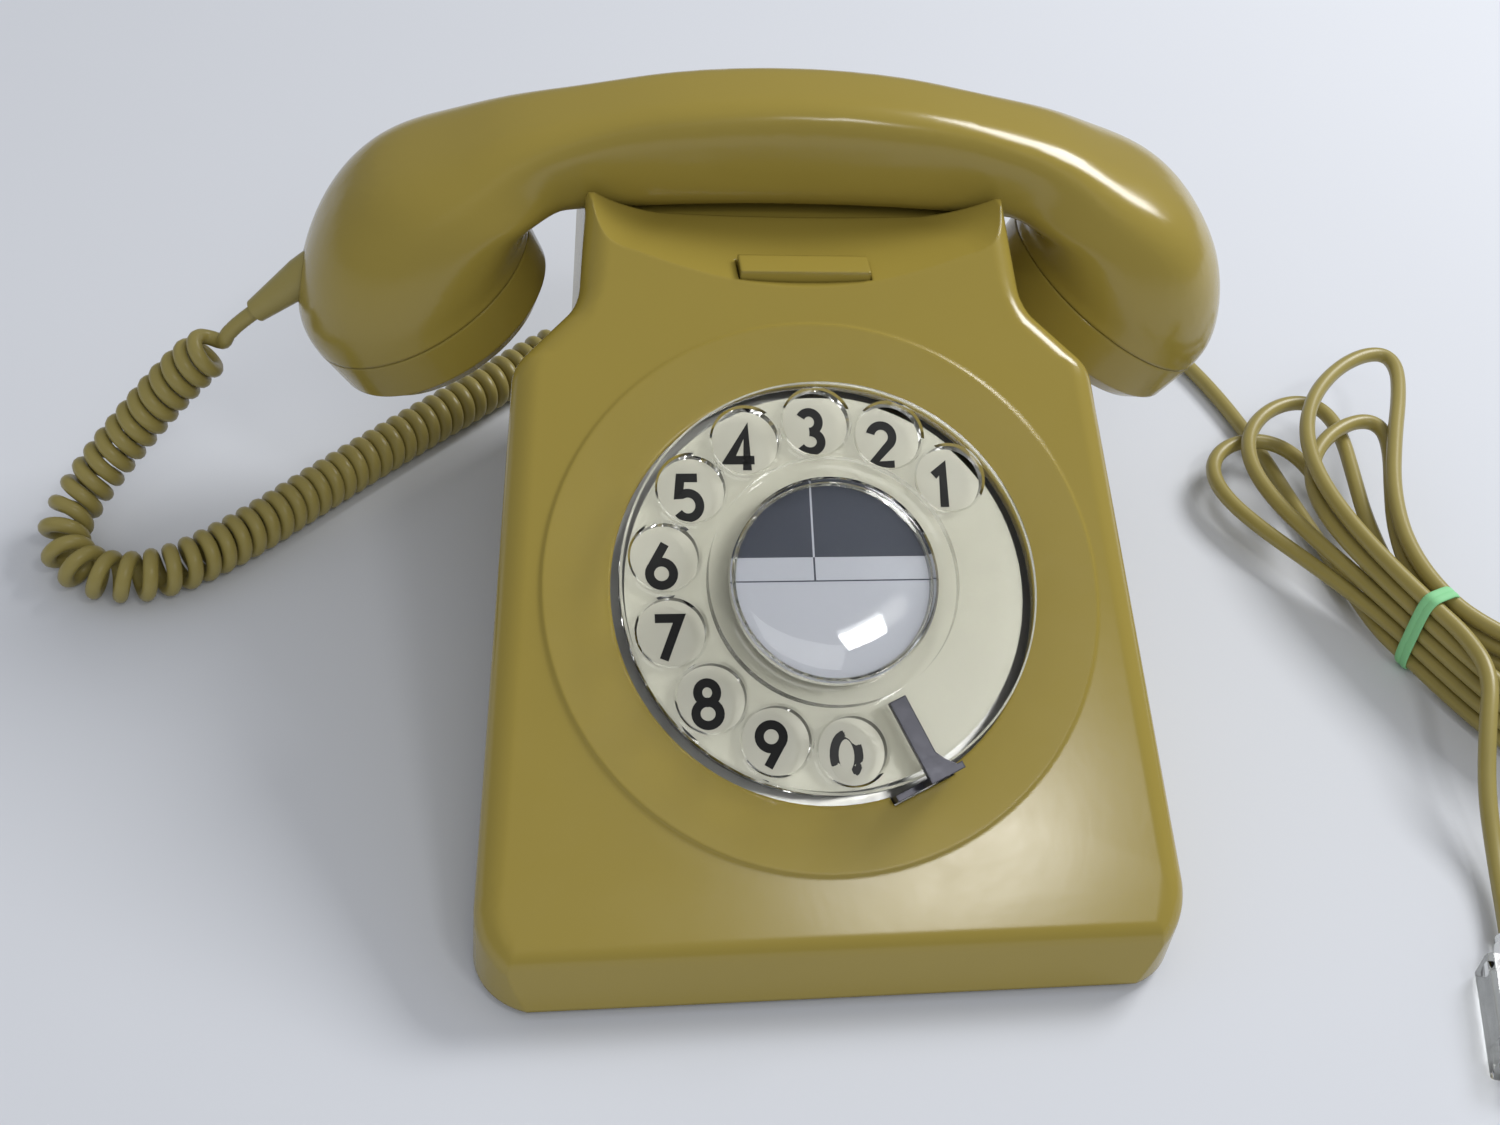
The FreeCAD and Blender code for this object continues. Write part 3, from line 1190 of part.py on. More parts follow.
def hank_place(turns):
    """Place on the hank: each turn goes down round the lower lobe, then round an upper one."""
    loop = int(min(max(turns, 0.0), HANK_LOOPS - 1e-9))
    share = (turns - loop) * 2
    angle = math.radians(HANK_TURN)
    along = Vector(math.cos(angle), math.sin(angle), 0)
    right = Vector(math.sin(angle), -math.cos(angle), 0)
    step = s.hank_step.value
    high = s.line_radius.value + s.hank_lift.value + step * loop
    if share < 1:
        long, wide, lean = LOBE_DOWN
        turn = math.pi * share
        sign = -1.0
        high += step * share * share * (3 - 2 * share)
    else:
        long, wide, lean = LOBES_UP[loop]
        turn = math.pi * (share - 1)
        sign = 1.0
        high += step
    reach = long * math.sin(turn)
    flare = 1.3 * math.sin(2 * turn) * math.sin(turn)
    across = sign * (math.cos(turn) * WAIST + wide / 2 * flare) + lean * reach * reach / long
    return Vector(HANK_AT[0], HANK_AT[1], high) + along * (sign * reach) + right * across


def hank_shape():
    radius = s.line_radius.value
    stops = [k / 14 for k in range(14 * HANK_LOOPS + 1)]
    stops[0] = 0.002
    stops[-1] = HANK_LOOPS - 0.002
    shape, length = curve_pipe(hank_place, stops, radius)
    fine = [hank_place(HANK_LOOPS * k / 900) for k in range(901)]
    print("hank: length", round(length, 1), "gap", round(self_gap(fine, 12, radius), 2),
          "volume share", round(shape.Volume / (math.pi * radius ** 2 * length), 4))
    return shape


def route_tube(points, radius, name):
    """Tube of straight runs joined by arcs as large as the runs allow."""
    points = [Vector(p) for p in points]
    edges = []
    radii = []
    here = points[0]
    for before, corner, after in zip(points, points[1:], points[2:]):
        arriving = corner - before
        leaving = after - corner
        turn = arriving.getAngle(leaving)
        reach = 0.45 * min(arriving.Length, leaving.Length)
        radii.append(reach / math.tan(turn / 2))
        arriving.normalize()
        leaving.normalize()
        start = corner - arriving * reach
        end = corner + leaving * reach
        edges.append(Part.LineSegment(here, start).toShape())
        edges.append(one_arc(start, arriving, end))
        here = end
    edges.append(Part.LineSegment(here, points[-1]).toShape())
    shape, length = pipe(edges, radius)
    print(name, "length", round(length, 1), "radii", [round(r) for r in radii],
          "volume share", round(shape.Volume / (math.pi * radius ** 2 * length), 4))
    return shape


def hank_end(turns):
    step = 1e-3
    place = hank_place(turns)
    heading = (hank_place(turns + step) - hank_place(turns - step)).normalize()
    return place, heading


def make_cords():
    half = s.case_depth / 2
    for label, x, bore in (("handset_cord_bush", -s.bush_x, s.curl_wire / 2),
                           ("line_cord_bush", s.bush_x, s.line_radius)):
        sleeve = cylinder(s.bush_radius, s.wall + 2.0, x, half - s.wall - 2.0, s.bush_z, ALONG_Y)
        flange = cylinder(s.bush_flange, 2.0, x, half, s.bush_z, ALONG_Y)
        nose = cone(s.bush_radius, bore + 1.2, s.bush_long - 2.0, x, half + 2.0, s.bush_z, ALONG_Y)
        node(fuse(sleeve, flange, nose), label)
    node(coded(curly_shape()), "curly_cord")
    out = Vector(s.bush_x.value, half.value + s.bush_long.value, s.bush_z.value)
    arrive, heading = hank_end(0.002)
    route = [out, out + Vector(0, 15.0, 0)] + [Vector(*p) for p in LINE_ROUTE]
    route += [arrive - heading * 12.0, arrive]
    radius = s.line_radius.value
    node(coded(route_tube(route, radius, "line cord")), "line_cord")
    node(coded(hank_shape()), "line_cord_hank")
    leave, heading = hank_end(HANK_LOOPS - 0.002)
    plug = Vector(PLUG_AT[0], PLUG_AT[1], s.plug_high.value / 2)
    last = Vector(*TAIL_ROUTE[-1])
    way = (plug - last).normalize()
    route = [leave, leave + heading * 12.0] + [Vector(*p) for p in TAIL_ROUTE] + [plug]
    node(coded(route_tube(route, radius, "tail")), "line_cord_tail")
    turn = math.degrees(math.atan2(way.y, way.x))
    long = s.plug_long.value
    wide = s.plug_wide.value
    high = s.plug_high.value
    rear = s.plug_sleeve.value
    wall = s.plug_wall.value
    deep = 3 * wall
    sleeve = Part.makeCone(radius + 1.2, radius + 2.4, rear, Vector(0, 0, 0), Vector(1, 0, 0))
    case = Part.makeBox(long - rear, wide, high, Vector(rear, -wide / 2, -high / 2))
    case = case.makeFillet(1.5, [edge for edge in case.Edges if edge.Length > long - rear - 1.0])
    body = sleeve.fuse(case)
    pocket = Part.makeBox(deep, wide - 2 * wall, high - 2 * wall,
                          Vector(long - deep, wall - wide / 2, wall - high / 2))
    shell = body.cut(pocket)
    blades = []
    for k in (-1, 0, 1):
        blades.append(Part.makeBox(deep + wall, 0.8, high - 2.5 * wall,
                                   Vector(long - deep, k * 2.4 - 0.4, 1.25 * wall - high / 2)))
    for shape, label in ((shell, "line_plug"), (Part.makeCompound(blades), "plug_contacts")):
        thing = coded(shape)
        thing.Placement = Placement(plug, Rotation(Vector(0, 0, 1), turn))
        node(thing, label)
    band = band_shape()
    node(coded(band), "hank_band")


def band_shape():
    """Flat band round the drawn-in waist of the hank."""
    gap = 0.2
    thick = s.band_thick.value
    wide = s.band_wide.value
    half = WAIST + s.line_radius.value + gap
    low = s.hank_lift.value - gap
    high = s.hank_lift.value + 2 * s.line_radius.value + s.hank_step.value * HANK_LOOPS + gap
    outer = Part.makeBox(wide, 2 * (half + thick), high - low + 2 * thick,
                         Vector(-wide / 2, -half - thick, low - thick))
    ring = outer.cut(Part.makeBox(2 * wide, 2 * half, high - low, Vector(-wide, -half, low)))
    ring.Placement = Placement(Vector(HANK_AT[0], HANK_AT[1], 0), Rotation(Vector(0, 0, 1), HANK_TURN))
    return ring


def main():
    make_case()
    make_base()
    make_dial()
    make_switch()
    make_bell()
    make_circuit()
    make_handset()
    make_cords()
    doc.recompute()
    for thing in doc.Objects:
        if "Invalid" in thing.State or "Error" in thing.State:
            raise RuntimeError(f"{thing.Name} ({thing.Label}) failed: {thing.State}")
    for thing in nodes:
        if thing.Shape.isNull() or not thing.Shape.isValid():
            raise RuntimeError(f"{thing.Label} has no valid shape")
    os.makedirs("parts", exist_ok=True)
    for thing in nodes:
        thing.Shape.exportStep(f"parts/{thing.Label}.step")
    print(len(nodes), "nodes written")


main()
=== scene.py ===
"""Finish of a rotary table telephone: moulded case, clear dial, handset, cords and a plain stage."""

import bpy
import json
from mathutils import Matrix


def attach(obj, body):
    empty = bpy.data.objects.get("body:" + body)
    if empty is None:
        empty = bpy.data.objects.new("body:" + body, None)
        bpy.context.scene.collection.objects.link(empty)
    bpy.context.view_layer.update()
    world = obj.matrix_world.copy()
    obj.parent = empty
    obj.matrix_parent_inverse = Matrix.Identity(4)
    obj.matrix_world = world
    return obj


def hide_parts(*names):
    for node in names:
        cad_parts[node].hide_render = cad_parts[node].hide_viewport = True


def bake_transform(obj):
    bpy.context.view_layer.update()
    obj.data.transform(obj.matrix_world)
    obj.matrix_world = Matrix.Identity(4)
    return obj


bl_info = {
    "name": "Rotary Telephone Finish",
    "version": (1, 0, 0),
    "blender": (4, 5, 0),
    "location": "View3D > Sidebar > Telephone",
    "description": "Dresses a rotary table telephone: moulded case, clear dial, handset and cords",
    "category": "Object",
}

import bmesh
import bpy
import json
import math
import numpy as np
from bpy.props import FloatProperty, FloatVectorProperty, PointerProperty
from mathutils import Matrix

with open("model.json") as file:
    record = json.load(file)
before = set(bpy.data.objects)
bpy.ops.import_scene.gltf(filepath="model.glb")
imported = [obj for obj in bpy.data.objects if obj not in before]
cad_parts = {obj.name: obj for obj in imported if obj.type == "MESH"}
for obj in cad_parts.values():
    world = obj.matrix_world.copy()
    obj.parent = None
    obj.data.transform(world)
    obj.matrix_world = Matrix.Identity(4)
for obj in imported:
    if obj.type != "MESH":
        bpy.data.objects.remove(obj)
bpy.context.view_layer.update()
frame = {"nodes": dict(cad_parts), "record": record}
NODES = frame["nodes"]
JOINTS = {joint["name"]: joint for joint in frame["record"]["behaviour"]["joints"]}
BODY_OF = {node: body for body, nodes in frame["record"]["behaviour"]["bodies"].items() for node in nodes}
SLOT_OF = {part["node"]: part["material_slot"] for part in frame["record"]["subparts"]}

# The dial lies on the leaning face: its centre, and its own right, up and outward directions.
DIAL_CENTRE = np.array(JOINTS["dial_turn"]["pos_m"])
DIAL_OUT = np.array(JOINTS["dial_turn"]["axis"]) / np.linalg.norm(JOINTS["dial_turn"]["axis"])
DIAL_RIGHT = np.array([1.0, 0.0, 0.0])
DIAL_UP = np.cross(DIAL_OUT, DIAL_RIGHT)

# The photograph's camera: where it stands, and its right, up and backward directions.
CAMERA_PLACE = (-0.0810, -0.3222, 0.3452)
CAMERA_AXES = ((0.987, -0.122, 0.100), (0.012, 0.694, 0.720), (-0.157, -0.710, 0.687))
CAMERA_LENS = 47.5
CAMERA_SENSOR = 36.0

# Routes of the cords, in metres, from where they leave the telephone.
BOOT_END = (-0.12177, 0.06270, 0.05713)
CURLY_ROUTE = [BOOT_END, (-0.12628, 0.06270, 0.05316), (-0.1285, 0.0625, 0.0505), (-0.140, 0.061, 0.040),
               (-0.154, 0.057, 0.024), (-0.166, 0.049, 0.011), (-0.170, 0.037, 0.0072),
               (-0.162, 0.026, 0.0066), (-0.146, 0.025, 0.0066), (-0.128, 0.038, 0.0066),
               (-0.108, 0.058, 0.0066), (-0.088, 0.077, 0.0066), (-0.068, 0.095, 0.0066),
               (-0.050, 0.112, 0.0068), (-0.034, 0.121, 0.0085), (-0.028, 0.117, 0.012),
               (-0.028, 0.107, 0.012)]
LINE_ROUTE = [(0.028, 0.107, 0.012), (0.028, 0.122, 0.012), (0.036, 0.142, 0.008), (0.058, 0.156, 0.0045),
              (0.086, 0.158, 0.003), (0.112, 0.148, 0.0026), (0.130, 0.128, 0.0026), (0.140, 0.104, 0.0026),
              (0.146, 0.078, 0.0026), (0.149, 0.052, 0.0026), (0.1525, 0.028, 0.003)]
TAIL_ROUTE = [(0.1656, -0.0295, 0.0222), (0.1605, -0.043, 0.018), (0.1575, -0.056, 0.011),
              (0.156, -0.069, 0.006), (0.1535, -0.081, 0.0045), (0.1505, -0.092, 0.0045)]

# The hank: its tied waist, the way its loops point, each loop's length, width and lean, the share of the
# width by which a loop opens to each side, the points of a loop, and the cord's straight run into it and
# out of it.
HANK_WAIST = (0.162, -0.005)
HANK_TURN = math.radians(113.0)
HANK_UPPER = np.array([(0.080, 0.027, 0.08), (0.084, 0.030, 0.30), (0.066, 0.026, 0.50),
                       (0.084, 0.032, 0.62)])
HANK_LOWER = np.array((0.062, 0.026, 0.53))
HANK_FLARE = 0.65
HANK_POINTS = 28
HANK_LEAD = 0.012

# The band: room round the wires and over the loops, how square its path is, how far its turns spread
# and waver along the hank, and half its thickness and width.
BAND_ROOM = 0.0007
BAND_OVER = 0.0006
BAND_SQUARE = 0.45
BAND_SPREAD = 0.0016
BAND_WAVER = 0.0003
BAND_STRIP = (0.00045, 0.0012)
BAND_POINTS = 240

# The curls: points along the route, how many of them are smoothed together, of how many one is kept, the
# straight run at the bush, the least share of the full turning, and the share of the radius from which the
# turning picks up.
CURL_POINTS = 6400
CURL_SMOOTHED = 61
CURL_KEPT = 4
CURL_BUSH_RUN = 0.014
CURL_LEAST = 0.3
CURL_GROWN = 0.72

# Sides of a swept wire or band, and points of a digit's arc.
WIRE_SIDES = 12
ARC_POINTS = 25

# Share by which the ink of each further stroke of a digit lies higher, and the least cosine of half the
# angle that a stroke turns by at a corner.
INK_LAYER = 0.2
SHARPEST_CORNER = 0.5

# Distances under which the points of a solid and of a swept surface are joined.
SOLID_JOIN = 2e-6
SURFACE_JOIN = 1e-7

# The label, in metres to the right of and above the dial's centre: where the dark field starts, the
# upright rule and its foot, and the level rule.
LABEL_DARK = 0.0053
LABEL_UPRIGHT = (-0.0038, -0.0034)
LABEL_FOOT = 0.0003
LABEL_LEVEL = (0.0001, 0.0004)

# The clear mouldings: their tint, greyed edge on as painted shade, and their shadow, each face on and edge
# on.
CLEAR_TINT_AND_EDGE_SHADE = ((0.955, 0.96, 0.945), (0.32, 0.33, 0.32))
CLEAR_SHADE = ((0.92, 0.92, 0.90), (0.22, 0.21, 0.19))

# How much finer the smudges of a handled surface are than its clouds.
SMUDGE_FINER = 2.3

# Half the width of the floor.
FLOOR_REACH = 4.0

# Strength of the sky as a light, as it is mirrored, and as it is seen behind the floor.
SKY_LIGHT = 0.48
SKY_MIRRORED = 0.18
SKY_SEEN = 0.85


class TelephoneSizes(bpy.types.PropertyGroup):
    """Sizes of the dressed pieces."""

    hole_circle: FloatProperty(name="Hole Circle", description="Radius of the circle of digits",
                               default=0.035, unit="LENGTH")
    first_hole: FloatProperty(name="First Digit", description="Angle of digit 1 from the right",
                              default=math.radians(40.0), subtype="ANGLE")
    hole_pitch: FloatProperty(name="Digit Pitch", description="Angle from one digit to the next",
                              default=math.radians(26.0), subtype="ANGLE")
    digit_height: FloatProperty(name="Digit Height", description="Height of a printed digit",
                                default=0.0090, unit="LENGTH")
    digit_weight: FloatProperty(name="Digit Weight", description="Width of a digit's strokes",
                                default=0.0019, unit="LENGTH")
    ink_thick: FloatProperty(name="Ink Thickness", description="Height of the ink over the plate",
                             default=0.00005, unit="LENGTH")
    print_face: FloatProperty(name="Print Height", description="Height of the number plate over the face",
                              default=0.0006, unit="LENGTH")
    cover_radius: FloatProperty(name="Cover Radius", description="Radius of the dome over the label",
                                default=0.0214, unit="LENGTH")
    cover_low: FloatProperty(name="Cover Foot", description="Height of the dome's foot over the face",
                             default=0.0085, unit="LENGTH")
    cover_edge: FloatProperty(name="Cover Edge", description="Height of the dome's edge over its foot",
                              default=0.0030, unit="LENGTH")
    cover_rise: FloatProperty(name="Cover Rise", description="Rise of the dome over its edge",
                              default=0.0021, unit="LENGTH")
    cover_wall: FloatProperty(name="Cover Wall", description="Wall of the dome",
                              default=0.0008, unit="LENGTH")
    edge_round: FloatProperty(name="Edge Round", description="Rounding of moulded edges",
                              default=0.0010, unit="LENGTH")
    curl_wire: FloatProperty(name="Curly Wire", description="Diameter of the curly cord's wire",
                             default=0.0037, unit="LENGTH")
    curl_radius: FloatProperty(name="Curl Radius", description="Radius of the curls at the wire's middle",
                               default=0.0044, unit="LENGTH")
    curl_pitch: FloatProperty(name="Curl Pitch", description="Step from one curl to the next",
                              default=0.00412, unit="LENGTH")
    curl_tail: FloatProperty(name="Curl Tail", description="Straight end of the curly cord",
                             default=0.009, unit="LENGTH")
    line_wire: FloatProperty(name="Line Wire", description="Diameter of the line cord",
                             default=0.0041, unit="LENGTH")
    hank_step: FloatProperty(name="Hank Step", description="Rise from one loop of the hank to the next",
                             default=0.0046, unit="LENGTH")
    hank_lift: FloatProperty(name="Hank Lift", description="Gap under the lowest loop",
                             default=0.00145, unit="LENGTH")
    hank_neck: FloatProperty(name="Hank Waist", description="Half the gap between the two tied columns",
                             default=0.0025, unit="LENGTH")


def colour_property(label, words, default):
    return FloatVectorProperty(name=label, description=words, default=default, subtype="COLOR",
                               min=0.0, max=1.0)


class TelephoneColours(bpy.types.PropertyGroup):
    """Colours of the finishes, in linear light."""

    case: colour_property("Case", "Moulded mustard plastic", (0.318, 0.243, 0.046))
    cord: colour_property("Cord", "Sheath of both cords", (0.310, 0.255, 0.075))
    ivory: colour_property("Number Plate", "Enamel under the digits", (0.58, 0.57, 0.47))
    ink: colour_property("Ink", "Printed digits", (0.005, 0.005, 0.005))
    card_dark: colour_property("Card Dark", "Upper field of the label", (0.024, 0.032, 0.058))
    card_pale: colour_property("Card Pale", "Lower field of the label", (0.50, 0.52, 0.60))
    stop: colour_property("Finger Stop", "Dark metal of the finger stop", (0.088, 0.088, 0.102))
    band: colour_property("Band", "Band that ties the hank", (0.012, 0.160, 0.075))
    floor: colour_property("Floor", "Plain pale floor", (0.62, 0.64, 0.68))


def sizes():
    return bpy.context.scene.telephone_sizes


def colours():
    return bpy.context.scene.telephone_colours


def rgba(colour):
    return (colour[0], colour[1], colour[2], 1.0)


# Meshes

def on_dial(points):
    """Points given as right, up and out of the dial's face, in the frame."""
    points = np.asarray(points, float)
    return (DIAL_CENTRE + points[..., :1] * DIAL_RIGHT + points[..., 1:2] * DIAL_UP
            + points[..., 2:3] * DIAL_OUT)


def grid_faces(rows, columns):
    """Quads of a grid of points that closes across its columns."""
    i, j = np.meshgrid(np.arange(rows - 1), np.arange(columns), indexing="ij")
    start = i * columns
    beside = (j + 1) % columns
    corners = (start + j, start + beside, start + columns + beside, start + columns + j)
    return np.stack(corners, -1).reshape(-1, 4).tolist()


def end_faces(rows, columns):
    """The two many-sided faces that close the ends of a swept tube."""
    first = list(range(columns))
    return [first[::-1], [(rows - 1) * columns + k for k in first]]


def sweep(path, across, rise, profile):
    """Profile (a, b) carried along a path: point = path + a * across + b * rise."""
    a = profile[None, :, :1]
    b = profile[None, :, 1:]
    return path[:, None, :] + a * across[:, None, :] + b * rise[:, None, :]


def unit(vectors):
    return vectors / np.linalg.norm(vectors, axis=-1, keepdims=True)


def circle(radius, count):
    turn = np.arange(count) * 2 * math.pi / count
    return radius * np.stack([np.cos(turn), np.sin(turn)], -1)


def place_piece(name, mesh, body, material, slot, *nodes):
    """Object for a finished mesh, riding on a body and standing for the nodes it replaces."""
    piece = bpy.data.objects.new(name, mesh)
    bpy.context.scene.collection.objects.link(piece)
    mesh.materials.clear()
    mesh.materials.append(material)
    if body:
        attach(piece, body)
    if nodes:
        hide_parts(*nodes)
    return piece


def surface_mesh(name, points, faces):
    """Smooth mesh with its faces pointing outwards."""
    mesh = bpy.data.meshes.new(name)
    mesh.from_pydata(np.asarray(points, float).reshape(-1, 3).tolist(), [], faces)
    work = bmesh.new()
    work.from_mesh(mesh)
    bmesh.ops.remove_doubles(work, verts=work.verts, dist=SURFACE_JOIN)
    bmesh.ops.recalc_face_normals(work, faces=work.faces)
    work.to_mesh(mesh)
    work.free()
    mesh.shade_smooth()
    return mesh


def turned_mesh(name, profile, place, count=96):
    """Surface of revolution: each (radius, height) of the profile carried round by a full turn."""
    profile = np.asarray(profile, float)
    flat = profile[:, None, :1] * circle(1.0, count)[None, :, :]
    high = np.broadcast_to(profile[:, None, 1:], flat.shape[:2] + (1,))
    return surface_mesh(name, place(np.concatenate([flat, high], -1)), grid_faces(len(profile), count))


def finished(node, material, crease=35.0):
    """Copy of a solid with its facets merged, shaded smooth up to its creases and flat on its flats."""
    mesh = NODES[node].data.copy()
    mesh.name = node + "_finish"
    work = bmesh.new()
    work.from_mesh(mesh)
    bmesh.ops.remove_doubles(work, verts=work.verts, dist=SOLID_JOIN)
    work.to_mesh(mesh)
    work.free()
    custom = mesh.attributes.get("custom_normal")
    if custom:
        mesh.attributes.remove(custom)
    mesh.shade_smooth()
    mesh.set_sharp_from_angle(angle=math.radians(crease))
    piece = place_piece(node + "_finish", mesh, BODY_OF[node], material, SLOT_OF[node], node)
    flats = piece.modifiers.new("Flats", "WEIGHTED_NORMAL")
    flats.keep_sharp = True
    flats.weight = 100
    return piece


# Materials

def shader(name):
    """Empty material with a Principled shader and an output."""
    material = bpy.data.materials.new(name)
    material.use_nodes = True
    tree = material.node_tree
    tree.nodes.clear()
    output = tree.nodes.new("ShaderNodeOutputMaterial")
    surface = tree.nodes.new("ShaderNodeBsdfPrincipled")
    tree.links.new(surface.outputs["BSDF"], output.inputs["Surface"])
    return material, tree, surface


def add(tree, kind, **values):
    """Node with its settings, and its inputs where the name is an input's."""
    node = tree.nodes.new(kind)
    for name, value in values.items():
        if hasattr(node, name):
            setattr(node, name, value)
        else:
            node.inputs[name.replace("_", " ")].default_value = value
    return node


def math_node(tree, operation, first, second=None):
    """Math node on sockets or numbers."""
    node = tree.nodes.new("ShaderNodeMath")
    node.operation = operation
    for socket, value in zip(node.inputs, (first, second)):
        if value is None:
            continue
        if isinstance(value, (int, float)):
            socket.default_value = value
        else:
            tree.links.new(value, socket)
    return node.outputs[0]


def mix_colour(tree, factor, first, second):
    """Mix of two colours, each a socket or a plain colour."""
    node = tree.nodes.new("ShaderNodeMix")
    node.data_type = "RGBA"
    for socket, value in ((node.inputs[0], factor), (node.inputs[6], first), (node.inputs[7], second)):
        if hasattr(value, "links"):
            tree.links.new(value, socket)
        elif isinstance(value, (int, float)):
            socket.default_value = value
        else:
            socket.default_value = rgba(value)
    return node.outputs[2]


def handled_group():
    """Handled surface: cloudy tint, smudged gloss and a fine grain, each from its own noise."""
    group = bpy.data.node_groups.get("Handled Surface")
    if group:
        return group
    group = bpy.data.node_groups.new("Handled Surface", "ShaderNodeTree")
    for name, kind, default in (("Colour", "NodeSocketColor", (0.5, 0.5, 0.5, 1.0)),
                                ("Cloud Scale", "NodeSocketFloat", 20.0), ("Cloud", "NodeSocketFloat", 0.1),
                                ("Roughness", "NodeSocketFloat", 0.4), ("Smudge", "NodeSocketFloat", 0.1),
                                ("Grain Scale", "NodeSocketFloat", 800.0)):
        socket = group.interface.new_socket(name, in_out="INPUT", socket_type=kind)
        socket.default_value = default
    for name, kind in (("Colour", "NodeSocketColor"), ("Roughness", "NodeSocketFloat"),
                       ("Height", "NodeSocketFloat")):
        group.interface.new_socket(name, in_out="OUTPUT", socket_type=kind)
    given = group.nodes.new("NodeGroupInput").outputs
    result = group.nodes.new("NodeGroupOutput").inputs
    place = group.nodes.new("ShaderNodeTexCoord").outputs["Object"]
    cloud = add(group, "ShaderNodeTexNoise", Detail=4.0, Roughness=0.6)
    smudge = add(group, "ShaderNodeTexNoise", Detail=6.0, Roughness=0.7, Distortion=0.8)
    grain = add(group, "ShaderNodeTexNoise", Detail=2.0)
    for noise in (cloud, smudge, grain):
        group.links.new(place, noise.inputs["Vector"])
    group.links.new(given["Cloud Scale"], cloud.inputs["Scale"])
    group.links.new(math_node(group, "MULTIPLY", given["Cloud Scale"], SMUDGE_FINER), smudge.inputs["Scale"])
    group.links.new(given["Grain Scale"], grain.inputs["Scale"])
    cloudy = math_node(group, "SUBTRACT", cloud.outputs["Fac"], 0.5)
    level = math_node(group, "ADD", math_node(group, "MULTIPLY", cloudy, given["Cloud"]), 1.0)
    tint = add(group, "ShaderNodeVectorMath", operation="SCALE")
    group.links.new(given["Colour"], tint.inputs[0])
    group.links.new(level, tint.inputs["Scale"])
    group.links.new(tint.outputs[0], result["Colour"])
    smudged = math_node(group, "SUBTRACT", smudge.outputs["Fac"], 0.5)
    rub = math_node(group, "MULTIPLY", smudged, given["Smudge"])
    group.links.new(math_node(group, "ADD", given["Roughness"], rub), result["Roughness"])
    group.links.new(grain.outputs["Fac"], result["Height"])
    return group


def handled(tree, surface, colour, rough, cloud=0.12, cloud_scale=18.0, smudge=0.1, grain_scale=900.0,
            bump=0.02, bump_reach=0.0001, soft_edge=0.0):
    """Handled Surface in a material, over a colour or a print, with its edges rounded by shading if asked."""
    group = tree.nodes.new("ShaderNodeGroup")
    group.node_tree = handled_group()
    for name, value in (("Cloud Scale", cloud_scale), ("Cloud", cloud), ("Roughness", rough),
                        ("Smudge", smudge), ("Grain Scale", grain_scale)):
        group.inputs[name].default_value = value
    if hasattr(colour, "links"):
        tree.links.new(colour, group.inputs["Colour"])
    else:
        group.inputs["Colour"].default_value = rgba(colour)
    tree.links.new(group.outputs["Colour"], surface.inputs["Base Color"])
    tree.links.new(group.outputs["Roughness"], surface.inputs["Roughness"])
    relief = add(tree, "ShaderNodeBump", Strength=bump, Distance=bump_reach)
    tree.links.new(group.outputs["Height"], relief.inputs["Height"])
    if soft_edge:
        edge = add(tree, "ShaderNodeBevel", samples=6, Radius=soft_edge)
        tree.links.new(edge.outputs["Normal"], relief.inputs["Normal"])
    tree.links.new(relief.outputs["Normal"], surface.inputs["Normal"])


def plain_finish(name, colour, rough, metal=0.0, **detail):
    """Handled material of one colour, made once."""
    found = bpy.data.materials.get(name)
    if found:
        return found
    material, tree, surface = shader(name)
    surface.inputs["Metallic"].default_value = metal
    handled(tree, surface, colour, rough, **detail)
    return material


def case_plastic():
    """Glossy mustard moulding with faint cloudiness, smudges and orange peel."""
    found = bpy.data.materials.get("mustard_moulding")
    if found:
        return found
    material, tree, surface = shader("mustard_moulding")
    surface.inputs["IOR"].default_value = 1.52
    handled(tree, surface, colours().case, 0.19, cloud=0.10, cloud_scale=14.0, smudge=0.12, grain_scale=420.0,
            bump=0.035, bump_reach=0.0002, soft_edge=sizes().edge_round)
    return material


def cord_sheath():
    """Satin sheath of the cords, a little paler than the case."""
    return plain_finish("cord_sheath", colours().cord, 0.36, cloud=0.22, cloud_scale=40.0, smudge=0.14,
                        grain_scale=1400.0, bump=0.05)


def clear_moulding():
    """Clear moulding that lets light through to what lies under it, with painted shade that greys it where it
    is seen edge on.
    """
    found = bpy.data.materials.get("clear_moulding")
    if found:
        return found
    material, tree, surface = shader("clear_moulding")
    slant = add(tree, "ShaderNodeLayerWeight", Blend=0.5)
    edge_on = math_node(tree, "POWER", slant.outputs["Facing"], 1.4)
    # The colour greys edge on: painted shade standing in for the dark rims and walls of the clear plastic.
    tint = mix_colour(tree, edge_on, *CLEAR_TINT_AND_EDGE_SHADE)
    tree.links.new(tint, surface.inputs["Base Color"])
    surface.inputs["Transmission Weight"].default_value = 1.0
    surface.inputs["IOR"].default_value = 1.49
    place = tree.nodes.new("ShaderNodeTexCoord").outputs["Object"]
    smudge = add(tree, "ShaderNodeTexNoise", Scale=60.0, Detail=5.0)
    tree.links.new(place, smudge.inputs["Vector"])
    rough = math_node(tree, "MULTIPLY", smudge.outputs["Fac"], 0.07)
    tree.links.new(rough, surface.inputs["Roughness"])
    open_air = tree.nodes.new("ShaderNodeBsdfTransparent")
    shade = mix_colour(tree, edge_on, *CLEAR_SHADE)
    tree.links.new(shade, open_air.inputs["Color"])
    either = tree.nodes.new("ShaderNodeMixShader")
    path = tree.nodes.new("ShaderNodeLightPath")
    tree.links.new(path.outputs["Is Shadow Ray"], either.inputs["Fac"])
    tree.links.new(surface.outputs["BSDF"], either.inputs[1])
    tree.links.new(open_air.outputs["BSDF"], either.inputs[2])
    tree.links.new(either.outputs["Shader"], tree.nodes["Material Output"].inputs["Surface"])
    return material


